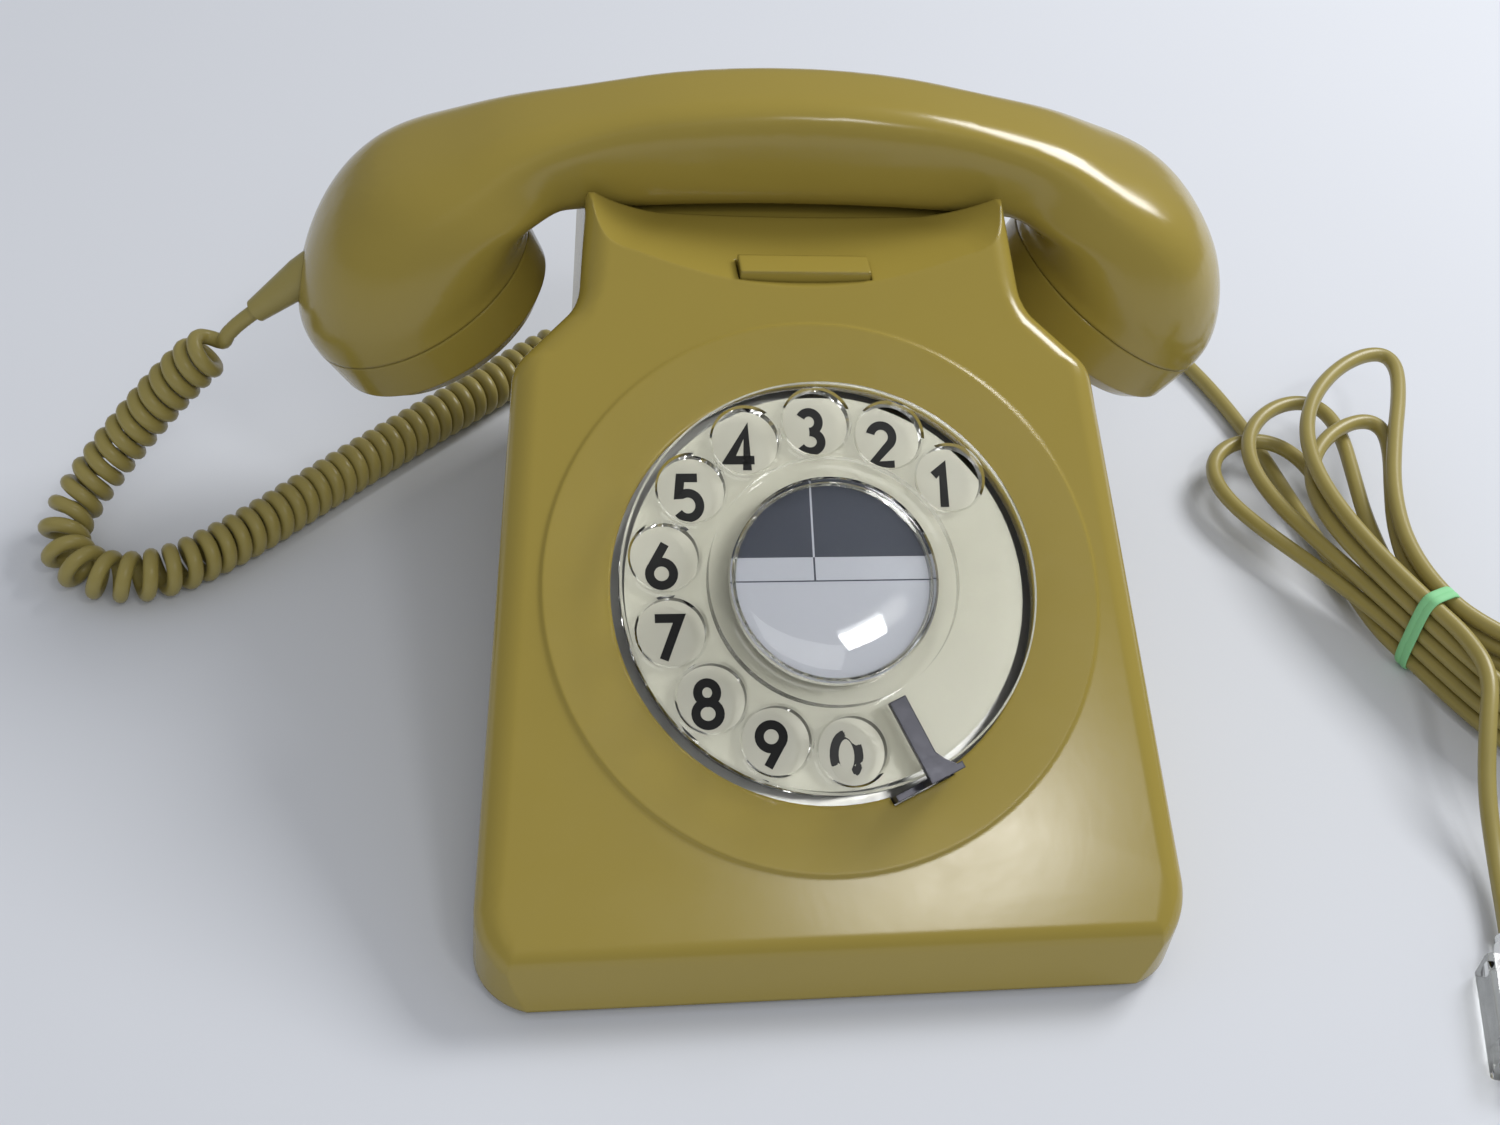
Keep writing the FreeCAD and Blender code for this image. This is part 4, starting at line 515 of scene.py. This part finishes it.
def dial_coordinates(tree):
    """Sockets with a point's distance to the right of and above the dial's centre."""
    place = tree.nodes.new("ShaderNodeTexCoord").outputs["Object"]
    offset = add(tree, "ShaderNodeVectorMath", operation="SUBTRACT")
    tree.links.new(place, offset.inputs[0])
    offset.inputs[1].default_value = DIAL_CENTRE
    found = []
    for way in (DIAL_RIGHT, DIAL_UP):
        dot = add(tree, "ShaderNodeVectorMath", operation="DOT_PRODUCT")
        tree.links.new(offset.outputs[0], dot.inputs[0])
        dot.inputs[1].default_value = way
        found.append(dot.outputs["Value"])
    return found


def within(tree, value, low, high):
    """1 where low < value < high."""
    return math_node(tree, "MULTIPLY", math_node(tree, "GREATER_THAN", value, low),
                     math_node(tree, "LESS_THAN", value, high))


def label_card():
    """Printed card: a dark field over a pale one, with thin rules and no words."""
    material, tree, surface = shader("label_card")
    right, up = dial_coordinates(tree)
    dark = math_node(tree, "GREATER_THAN", up, LABEL_DARK)
    field = mix_colour(tree, dark, colours().card_pale, colours().card_dark)
    upright = math_node(tree, "MULTIPLY", within(tree, right, *LABEL_UPRIGHT),
                        math_node(tree, "GREATER_THAN", up, LABEL_FOOT))
    rule_colour = mix_colour(tree, dark, colours().card_dark, colours().card_pale)
    ruled = mix_colour(tree, upright, field, rule_colour)
    ruled = mix_colour(tree, within(tree, up, *LABEL_LEVEL), ruled, colours().card_dark)
    handled(tree, surface, ruled, 0.5, cloud=0.06, cloud_scale=60.0, smudge=0.05, bump=0.01)
    return material


def plate_enamel():
    """Ivory enamel of the number plate, a little yellowed in clouds."""
    return plain_finish("plate_enamel", colours().ivory, 0.32, cloud=0.14, cloud_scale=45.0, smudge=0.12,
                        grain_scale=600.0, bump=0.02)


def worn_ink():
    """Black print rubbed away in patches, so that the enamel shows."""
    material, tree, surface = shader("worn_ink")
    place = tree.nodes.new("ShaderNodeTexCoord").outputs["Object"]
    patch = add(tree, "ShaderNodeTexNoise", Scale=190.0, Detail=4.0)
    tree.links.new(place, patch.inputs["Vector"])
    left = math_node(tree, "GREATER_THAN", patch.outputs["Fac"], 0.47)
    print_colour = mix_colour(tree, left, colours().ivory, colours().ink)
    handled(tree, surface, print_colour, 0.4, cloud=0.14, smudge=0.1)
    return material


def digit_ink():
    """Dull black print of the digits."""
    return plain_finish("digit_ink", colours().ink, 0.62, cloud=0.3, cloud_scale=120.0, smudge=0.1)


def stop_metal():
    """Dark, spotted metal of the finger stop."""
    return plain_finish("stop_metal", colours().stop, 0.34, metal=0.75, cloud=0.35, cloud_scale=90.0,
                        smudge=0.2, grain_scale=1600.0, bump=0.08, soft_edge=0.0004)


def inner_finishes():
    """Finish of each slot that only the inside and the underside show."""
    steel = plain_finish("zinc_plate", (0.55, 0.55, 0.53), 0.34, metal=1.0, cloud=0.25, cloud_scale=60.0,
                         smudge=0.2)
    brass = plain_finish("machined_brass", (0.62, 0.43, 0.14), 0.28, metal=1.0, cloud=0.2, cloud_scale=80.0,
                         smudge=0.16)
    return {
        "zinc_steel": steel,
        "brass": brass,
        "gong_metal": plain_finish("gong_plate", (0.66, 0.62, 0.55), 0.18, metal=1.0, cloud=0.15,
                                   smudge=0.12),
        "copper_winding": plain_finish("enamelled_copper", (0.33, 0.12, 0.035), 0.38, metal=0.6, cloud=0.3,
                                       cloud_scale=300.0, bump=0.2),
        "board": plain_finish("resin_board", (0.19, 0.10, 0.04), 0.5, cloud=0.3, cloud_scale=120.0),
        "black_plastic": plain_finish("black_moulding", (0.012, 0.012, 0.013), 0.42, cloud=0.2, bump=0.1),
        "can_aluminium": plain_finish("drawn_can", (0.66, 0.66, 0.67), 0.3, metal=1.0, cloud=0.12),
        "foot_rubber": plain_finish("foot_rubber", (0.018, 0.018, 0.018), 0.7, cloud=0.25, bump=0.2),
    }


def dress(node, material):
    """Give a solid whose shape is right its finish."""
    data = NODES[node].data
    data.materials.clear()
    data.materials.append(material)


# Cords

def route_points(name, points):
    """Points along the smooth line that has the route's points as its control points."""
    curve = bpy.data.curves.new(name, "CURVE")
    curve.dimensions = "3D"
    curve.resolution_u = 40
    add_route(curve, points)
    line = bpy.data.objects.new(name, curve)
    bpy.context.scene.collection.objects.link(line)
    bpy.context.view_layer.update()
    mesh = bpy.data.meshes.new_from_object(line)
    found = np.empty(len(mesh.vertices) * 3)
    mesh.vertices.foreach_get("co", found)
    bpy.data.objects.remove(line)
    bpy.data.curves.remove(curve)
    bpy.data.meshes.remove(mesh)
    return found.reshape(-1, 3)


def add_route(curve, points):
    """Smooth spline in a curve, which starts and ends at the first and the last of its control points."""
    spline = curve.splines.new("NURBS")
    spline.points.add(len(points) - 1)
    weights = np.ones((len(points), 4))
    weights[:, :3] = points
    spline.points.foreach_set("co", weights.ravel())
    spline.order_u = 3
    spline.use_endpoint_u = True


def lengths_along(line):
    return np.concatenate([[0.0], np.cumsum(np.linalg.norm(np.diff(line, axis=0), axis=1))])


def resample(line, count):
    """Evenly spaced points along a line, and their length along it."""
    along = lengths_along(line)
    keep = np.concatenate([[True], np.diff(along) > 1e-9])
    stations = np.linspace(0.0, along[-1], count)
    return np.stack([np.interp(stations, along[keep], line[keep, k]) for k in range(3)], -1), stations


def smooth_step(share):
    share = np.clip(share, 0.0, 1.0)
    return share * share * (3 - 2 * share)


def curl_line():
    """Helix about the route: middle + r(s) * (side * cos(turn) + rise * sin(turn)), and its radial way.

    The turn grows with the length, less in a bend, so that the curls keep apart on its inner side, and
    less where the radius r(s) is still small, so that the wire isn't kinked there.
    """
    size = sizes()
    middle, along = resample(route_points("curly_route", CURLY_ROUTE), CURL_POINTS)
    heading = unit(np.gradient(middle, axis=0))
    window = np.ones(CURL_SMOOTHED) / CURL_SMOOTHED
    margin = CURL_SMOOTHED // 2
    padded = np.pad(heading, ((margin, margin), (0, 0)), mode="edge")
    heading = unit(np.stack([np.convolve(padded[:, k], window, "valid") for k in range(3)], -1))
    side = unit(np.cross(heading, (0.0, 0.0, 1.0)))
    rise = np.cross(side, heading)
    step = along[1] - along[0]
    bend = np.linalg.norm(np.gradient(heading, axis=0), axis=1) / step
    first = size.curl_tail
    last = along[-1] - size.curl_tail - CURL_BUSH_RUN
    ease = smooth_step((along - first) / size.curl_tail) * smooth_step((last - along) / size.curl_tail)
    rate = np.maximum(1 - size.curl_radius * bend, CURL_LEAST) / size.curl_pitch
    rate = rate * (CURL_LEAST + (1 - CURL_LEAST) * smooth_step((ease - CURL_GROWN) / (1 - CURL_GROWN)))
    turn = 2 * math.pi * np.concatenate([[0.0], np.cumsum(rate[:-1] * step)])
    radial = side * np.cos(turn)[:, None] + rise * np.sin(turn)[:, None]
    return middle + radial * (size.curl_radius * ease)[:, None], radial


def make_curly_cord():
    """Curly cord: a round wire swept along the helix."""
    size = sizes()
    line, radial = curl_line()
    line = line[::CURL_KEPT]
    radial = radial[::CURL_KEPT]
    heading = unit(np.gradient(line, axis=0))
    radial = unit(radial - heading * np.sum(radial * heading, axis=1, keepdims=True))
    across = np.cross(heading, radial)
    points = sweep(line, radial, across, circle(size.curl_wire / 2, WIRE_SIDES))
    faces = grid_faces(len(line), WIRE_SIDES) + end_faces(len(line), WIRE_SIDES)
    mesh = surface_mesh("curly_cord_finish", points, faces)
    cord = place_piece("curly_cord_finish", mesh, None, cord_sheath(), "ochre_cord", "curly_cord")
    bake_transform(cord)


def hank_points():
    """The hank's loops: each turn rounds the lower lobe while it climbs a step, then an upper one.

    On a lobe of length l, width w and lean k, with t from 0 to pi: reach = l sin t, and
    across = neck cos t + HANK_FLARE w sin 2t sin t + k reach^2 / l.
    """
    size = sizes()
    loops = len(HANK_UPPER)
    turns = np.linspace(0.0, loops, loops * HANK_POINTS + 1)[:-1]
    loop = turns.astype(int)
    share = (turns - loop) * 2
    upper = (share >= 1)[:, None]
    lobe = np.where(upper, HANK_UPPER[loop], HANK_LOWER)
    sign = np.where(upper[:, 0], 1.0, -1.0)
    turn = math.pi * (share - upper[:, 0])
    high = size.line_wire / 2 + size.hank_lift + size.hank_step * (loop + smooth_step(share))
    reach = lobe[:, 0] * np.sin(turn)
    flare = HANK_FLARE * lobe[:, 1] * np.sin(2 * turn) * np.sin(turn)
    across = sign * (np.cos(turn) * size.hank_neck + flare) + lobe[:, 2] * reach ** 2 / lobe[:, 0]
    reach = sign * reach
    x = HANK_WAIST[0] + math.cos(HANK_TURN) * reach + math.sin(HANK_TURN) * across
    y = HANK_WAIST[1] + math.sin(HANK_TURN) * reach - math.cos(HANK_TURN) * across
    return np.stack([x, y, high], -1)


def make_line_cord():
    """Line cord from the rear wall through the tied hank to the plug."""
    size = sizes()
    loops = hank_points()
    down = unit(loops[1] - loops[0])
    leave = loops[0] + np.array([0.0, 0.0, size.hank_step * len(HANK_UPPER)])
    points = np.concatenate([LINE_ROUTE, [loops[0] - down * HANK_LEAD], loops,
                             [leave, leave + down * HANK_LEAD], TAIL_ROUTE])
    length = float(lengths_along(route_points("line_route", points))[-1])
    curve = bpy.data.curves.new("line_cord_finish", "CURVE")
    curve.dimensions = "3D"
    curve.resolution_u = 8
    curve.bevel_depth = size.line_wire / 2
    curve.bevel_resolution = 4
    curve.use_fill_caps = True
    add_route(curve, points)
    curve.materials.append(cord_sheath())
    cord = bpy.data.objects.new("line_cord_finish", curve)
    bpy.context.scene.collection.objects.link(cord)
    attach(cord, "phone")
    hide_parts("line_cord", "line_cord_hank", "line_cord_tail")
    band = make_band()
    plug = finished("line_plug", clear_moulding())


def make_band():
    """Band wound twice round the waist: a rounded strip carried round a superellipse, stepping along."""
    size = sizes()
    turn = np.linspace(0.0, 4 * math.pi, BAND_POINTS)
    wide = size.hank_neck + size.line_wire / 2 + BAND_ROOM
    low = size.hank_lift - BAND_OVER
    high = size.hank_lift + size.line_wire + size.hank_step * len(HANK_UPPER) + BAND_OVER
    across = wide * np.sign(np.cos(turn)) * np.abs(np.cos(turn)) ** BAND_SQUARE
    rise = (high - low) / 2 * np.sign(np.sin(turn)) * np.abs(np.sin(turn)) ** BAND_SQUARE
    along = np.linspace(-BAND_SPREAD, BAND_SPREAD, BAND_POINTS) + BAND_WAVER * np.sin(turn)
    way = np.array([math.cos(HANK_TURN), math.sin(HANK_TURN), 0.0])
    right = np.array([math.sin(HANK_TURN), -math.cos(HANK_TURN), 0.0])
    middle = np.array([HANK_WAIST[0], HANK_WAIST[1], (low + high) / 2])
    path = middle + along[:, None] * way + across[:, None] * right
    path[:, 2] += rise
    outward = unit(across[:, None] / wide * right + (rise / (high - low) * 2)[:, None] * (0.0, 0.0, 1.0))
    strip = circle(1.0, WIRE_SIDES) * BAND_STRIP
    points = sweep(path, outward, np.broadcast_to(way, path.shape), strip)
    faces = grid_faces(BAND_POINTS, WIRE_SIDES) + end_faces(BAND_POINTS, WIRE_SIDES)
    mesh = surface_mesh("hank_band_finish", points, faces)
    finish = plain_finish("green_band", colours().band, 0.45, cloud=0.3, cloud_scale=200.0, bump=0.1)
    return place_piece("hank_band_finish", mesh, "phone", finish, "green_band", "hank_band")


# Dial

def arc(x, y, wide, high, start, end):
    """Points of an elliptic arc: centre, half width, half height and its two angles in degrees."""
    turn = np.radians(np.linspace(start, end, ARC_POINTS))
    return np.stack([x + wide * np.cos(turn), y + high * np.sin(turn)], -1)


def digit_strokes():
    """Strokes of the digits 0 to 9, in shares of a digit's height from the middle of its foot."""
    return (
        [arc(0, 0.49, 0.29, 0.49, 90, 450)],
        [[(-0.18, 0.78), (0.05, 0.97), (0.05, 0.0)]],
        [np.concatenate([arc(0, 0.70, 0.27, 0.28, 165, -40), [(-0.27, 0.0)], [(0.29, 0.0)]])],
        [arc(-0.02, 0.735, 0.23, 0.245, 150, -90), arc(-0.02, 0.245, 0.27, 0.245, 90, -150)],
        [[(0.13, 0.0), (0.13, 0.98), (-0.31, 0.25), (0.31, 0.25)]],
        [np.concatenate([[(0.24, 0.97), (-0.16, 0.97), (-0.21, 0.56)], arc(0, 0.30, 0.28, 0.30, 118, -145)])],
        [arc(0, 0.28, 0.28, 0.28, 90, 450), [(-0.26, 0.38), (0.10, 0.99)]],
        [[(-0.29, 0.97), (0.28, 0.97), (-0.11, 0.0)]],
        [arc(0, 0.75, 0.22, 0.23, 90, 450), arc(0, 0.26, 0.28, 0.27, 90, 450)],
        [arc(0, 0.70, 0.28, 0.28, 90, 450), [(0.26, 0.60), (-0.10, 0.0)]],
    )


def stroke_points(stroke, wide, thick):
    """Flat bar along a stroke: at each point the profile turns halfway between its two runs."""
    stroke = np.asarray(stroke, float)
    runs = unit(np.diff(stroke, axis=0))
    closed = np.allclose(stroke[0], stroke[-1])
    before = np.concatenate([runs[-1:] if closed else runs[:1], runs])
    after = np.concatenate([runs, runs[:1] if closed else runs[-1:]])
    way = unit(before + after)
    miter = 1 / np.maximum(np.sum(way * after, axis=1, keepdims=True), SHARPEST_CORNER)
    left = np.stack([-way[:, 1], way[:, 0]], -1) * miter
    path = np.concatenate([stroke, np.zeros((len(stroke), 1))], 1)
    across = np.concatenate([left, np.zeros((len(stroke), 1))], 1)
    rise = np.broadcast_to((0.0, 0.0, 1.0), path.shape)
    bar = np.array([(wide / 2, 0.0), (wide / 2, thick), (-wide / 2, thick), (-wide / 2, 0.0)])
    return sweep(path, across, rise, bar)


def make_digits():
    """Printed digits under the finger holes, upright: bars of thin ink along each digit's strokes."""
    size = sizes()
    for index in range(10):
        digit = (index + 1) % 10
        angle = size.first_hole + size.hole_pitch * index
        foot = np.array([size.hole_circle * math.cos(angle),
                         size.hole_circle * math.sin(angle) - size.digit_height / 2, size.print_face])
        points = []
        faces = []
        for layer, stroke in enumerate(digit_strokes()[digit]):
            bar = stroke_points(np.asarray(stroke) * size.digit_height, size.digit_weight,
                                size.ink_thick * (1 + INK_LAYER * layer))
            first = sum(len(part) for part in points)
            quads = grid_faces(len(bar), 4) + end_faces(len(bar), 4)
            faces += (np.array(quads) + first).tolist()
            points.append(on_dial(bar + foot).reshape(-1, 3))
        mesh = bpy.data.meshes.new(f"dial_digit_{digit}")
        mesh.from_pydata(np.concatenate(points).tolist(), [], faces)
        ink = worn_ink() if digit == 0 else digit_ink()
        place_piece(f"dial_digit_{digit}", mesh, "phone", ink, "ivory_plate")


def make_label_cover():
    """Clear dome of even wall: up an edge and over an elliptic rise, turned about the dial's axis."""
    size = sizes()
    turn = np.linspace(0.0, 1.0, 16) * math.pi / 2
    edge = size.cover_low + size.cover_edge
    wall = size.cover_wall
    pole = 1e-5
    outer = np.stack([size.cover_radius * np.cos(turn), edge + size.cover_rise * np.sin(turn)], -1)
    inner = np.stack([(size.cover_radius - wall) * np.cos(turn),
                      edge - wall + size.cover_rise * np.sin(turn)], -1)
    outer[-1, 0] = pole
    inner[-1, 0] = pole
    feet = [(size.cover_radius - wall, size.cover_low), (size.cover_radius, size.cover_low)]
    profile = np.concatenate([inner[::-1], feet, outer])
    mesh = turned_mesh("label_cover_finish", profile, on_dial)
    close_poles(mesh)
    place_piece("label_cover_finish", mesh, "dial", clear_moulding(), "clear_acrylic", "label_cover")


def close_poles(mesh):
    """Fill the small rings left open at the two ends of a turned surface."""
    work = bmesh.new()
    work.from_mesh(mesh)
    edges = [edge for edge in work.edges if edge.is_boundary]
    bmesh.ops.holes_fill(work, edges=edges)
    bmesh.ops.recalc_face_normals(work, faces=work.faces)
    work.to_mesh(mesh)
    work.free()
    mesh.shade_smooth()


# Stage

def light_sky(tree):
    """Even sky, pale where it is seen, that gloss and clear mouldings mirror only dimly."""
    sky = tree.nodes["Background"]
    sky.inputs["Color"].default_value = (0.93, 0.95, 1.0, 1.0)
    path = tree.nodes.new("ShaderNodeLightPath")
    mirrored = math_node(tree, "MAXIMUM", path.outputs["Is Glossy Ray"], path.outputs["Is Transmission Ray"])
    dimmed = math_node(tree, "MULTIPLY", mirrored, SKY_MIRRORED - SKY_LIGHT)
    paler = math_node(tree, "MULTIPLY", path.outputs["Is Camera Ray"], SKY_SEEN - SKY_LIGHT)
    change = math_node(tree, "ADD", dimmed, paler)
    tree.links.new(math_node(tree, "ADD", change, SKY_LIGHT), sky.inputs["Strength"])


def make_floor():
    """Plain pale floor that the export leaves out."""
    mesh = bpy.data.meshes.new("floor")
    corners = FLOOR_REACH * np.array([(-1.0, -1.0, 0.0), (1.0, -1.0, 0.0), (1.0, 1.0, 0.0), (-1.0, 1.0, 0.0)])
    mesh.from_pydata(corners.tolist(), [], [(0, 1, 2, 3)])
    mesh.materials.append(plain_finish("pale_floor", colours().floor, 0.85, cloud=0.05, cloud_scale=3.0,
                                       smudge=0.05, bump=0.0))
    floor = bpy.data.objects.new("floor", mesh)
    bpy.context.scene.collection.objects.link(floor)


def add_lamp(name, place, target, size, power, mirrored=True):
    """Rectangular lamp at a place, facing a target, of a size in metres and a power in watts."""
    data = bpy.data.lights.new(name, "AREA")
    data.shape = "RECTANGLE"
    data.size = size[0]
    data.size_y = size[1]
    data.energy = power
    lamp = bpy.data.objects.new(name, data)
    lamp.visible_glossy = mirrored
    bpy.context.scene.collection.objects.link(lamp)
    back = unit(np.array(place) - np.array(target))
    right = unit(np.cross((0.0, 0.0, 1.0), back))
    world = np.eye(4)
    world[:3, :3] = np.stack([right, np.cross(back, right), back], -1)
    world[:3, 3] = place
    lamp.matrix_world = Matrix(world.tolist())


# Operators

class TELEPHONE_OT_camera(bpy.types.Operator):
    """Stand the camera where the photograph was taken"""

    bl_idname = "telephone.camera"
    bl_label = "Camera"

    def execute(self, context):
        data = bpy.data.cameras.new("photograph_camera")
        data.lens = CAMERA_LENS
        data.sensor_width = CAMERA_SENSOR
        camera = bpy.data.objects.new("photograph_camera", data)
        context.scene.collection.objects.link(camera)
        # The camera's turn is the rotation nearest to its three measured directions.
        axes, _, square = np.linalg.svd(np.array(CAMERA_AXES))
        world = np.eye(4)
        world[:3, :3] = (axes @ square).T
        world[:3, 3] = CAMERA_PLACE
        camera.matrix_world = Matrix(world.tolist())
        context.scene.camera = camera
        return {"FINISHED"}


class TELEPHONE_OT_cords(bpy.types.Operator):
    """Curly handset cord, line cord with its hank, band and plug"""

    bl_idname = "telephone.cords"
    bl_label = "Cords"

    def execute(self, context):
        make_curly_cord()
        make_line_cord()
        dress("plug_contacts", inner_finishes()["brass"])
        for node in ("handset_boot", "handset_cord_bush", "line_cord_bush"):
            finished(node, cord_sheath())
        return {"FINISHED"}


class TELEPHONE_OT_case(bpy.types.Operator):
    """Moulded case and the bar in its dish"""

    bl_idname = "telephone.case"
    bl_label = "Case"

    def execute(self, context):
        finished("case_shell", case_plastic(), crease=22.0)
        finished("press_bar", case_plastic())
        return {"FINISHED"}


class TELEPHONE_OT_dial(bpy.types.Operator):
    """Number plate with its digits, clear finger plate, label, dome and finger stop"""

    bl_idname = "telephone.dial"
    bl_label = "Dial"

    def execute(self, context):
        dress("number_plate", plate_enamel())
        make_digits()
        finished("finger_plate", clear_moulding())
        dress("dial_label", label_card())
        make_label_cover()
        finished("finger_stop", stop_metal())
        return {"FINISHED"}


class TELEPHONE_OT_handset(bpy.types.Operator):
    """Handset with its two caps"""

    bl_idname = "telephone.handset"
    bl_label = "Handset"

    def execute(self, context):
        finished("handset_body", case_plastic(), crease=50.0)
        for cap in ("ear_cap", "mouth_cap"):
            finished(cap, case_plastic())
        return {"FINISHED"}


class TELEPHONE_OT_inside(bpy.types.Operator):
    """Finish of the base, the bell, the circuit and the dial's works"""

    bl_idname = "telephone.inside"
    bl_label = "Inside"

    def execute(self, context):
        finishes = inner_finishes()
        for node, slot in SLOT_OF.items():
            if slot in finishes:
                dress(node, finishes[slot])
        return {"FINISHED"}


class TELEPHONE_OT_stage(bpy.types.Operator):
    """Plain pale floor, soft lamps and an even sky"""

    bl_idname = "telephone.stage"
    bl_label = "Stage"

    def execute(self, context):
        make_floor()
        add_lamp("ceiling_lamp", (0.41, -0.755, 1.31), (0.02, -0.08, 0.03), (0.22, 0.12), 2.2)
        add_lamp("side_window", (0.85, 0.50, 0.95), (0.0, 0.0, 0.05), (0.5, 0.5), 12.0)
        add_lamp("front_fill", (-0.10, -0.95, 1.05), (0.0, 0.06, 0.09), (0.8, 0.5), 3.2, mirrored=False)
        world = bpy.data.worlds.new("even_sky")
        world.use_nodes = True
        light_sky(world.node_tree)
        context.scene.world = world
        context.scene.view_settings.view_transform = "Standard"
        return {"FINISHED"}


class TELEPHONE_PT_pieces(bpy.types.Panel):
    """Sidebar list of the telephone's pieces, sizes and colours"""

    bl_label = "Telephone"
    bl_idname = "TELEPHONE_PT_pieces"
    bl_space_type = "VIEW_3D"
    bl_region_type = "UI"
    bl_category = "Telephone"

    def draw(self, context):
        for operator in OPERATORS:
            self.layout.operator(operator.bl_idname)
        for group in (context.scene.telephone_sizes, context.scene.telephone_colours):
            box = self.layout.box()
            for name in group.__annotations__:
                box.prop(group, name)


OPERATORS = (TELEPHONE_OT_camera, TELEPHONE_OT_cords, TELEPHONE_OT_case, TELEPHONE_OT_dial,
             TELEPHONE_OT_handset, TELEPHONE_OT_inside, TELEPHONE_OT_stage)
CLASSES = (TelephoneSizes, TelephoneColours) + OPERATORS + (TELEPHONE_PT_pieces,)


def register():
    for kind in CLASSES:
        bpy.utils.register_class(kind)
    bpy.types.Scene.telephone_sizes = PointerProperty(type=TelephoneSizes)
    bpy.types.Scene.telephone_colours = PointerProperty(type=TelephoneColours)


def unregister():
    del bpy.types.Scene.telephone_colours
    del bpy.types.Scene.telephone_sizes
    for kind in reversed(CLASSES):
        bpy.utils.unregister_class(kind)


def main():
    register()
    bpy.ops.telephone.camera()
    bpy.ops.telephone.cords()
    bpy.ops.telephone.case()
    bpy.ops.telephone.dial()
    bpy.ops.telephone.handset()
    bpy.ops.telephone.inside()
    bpy.ops.telephone.stage()


if __name__ == "__main__":
    main()
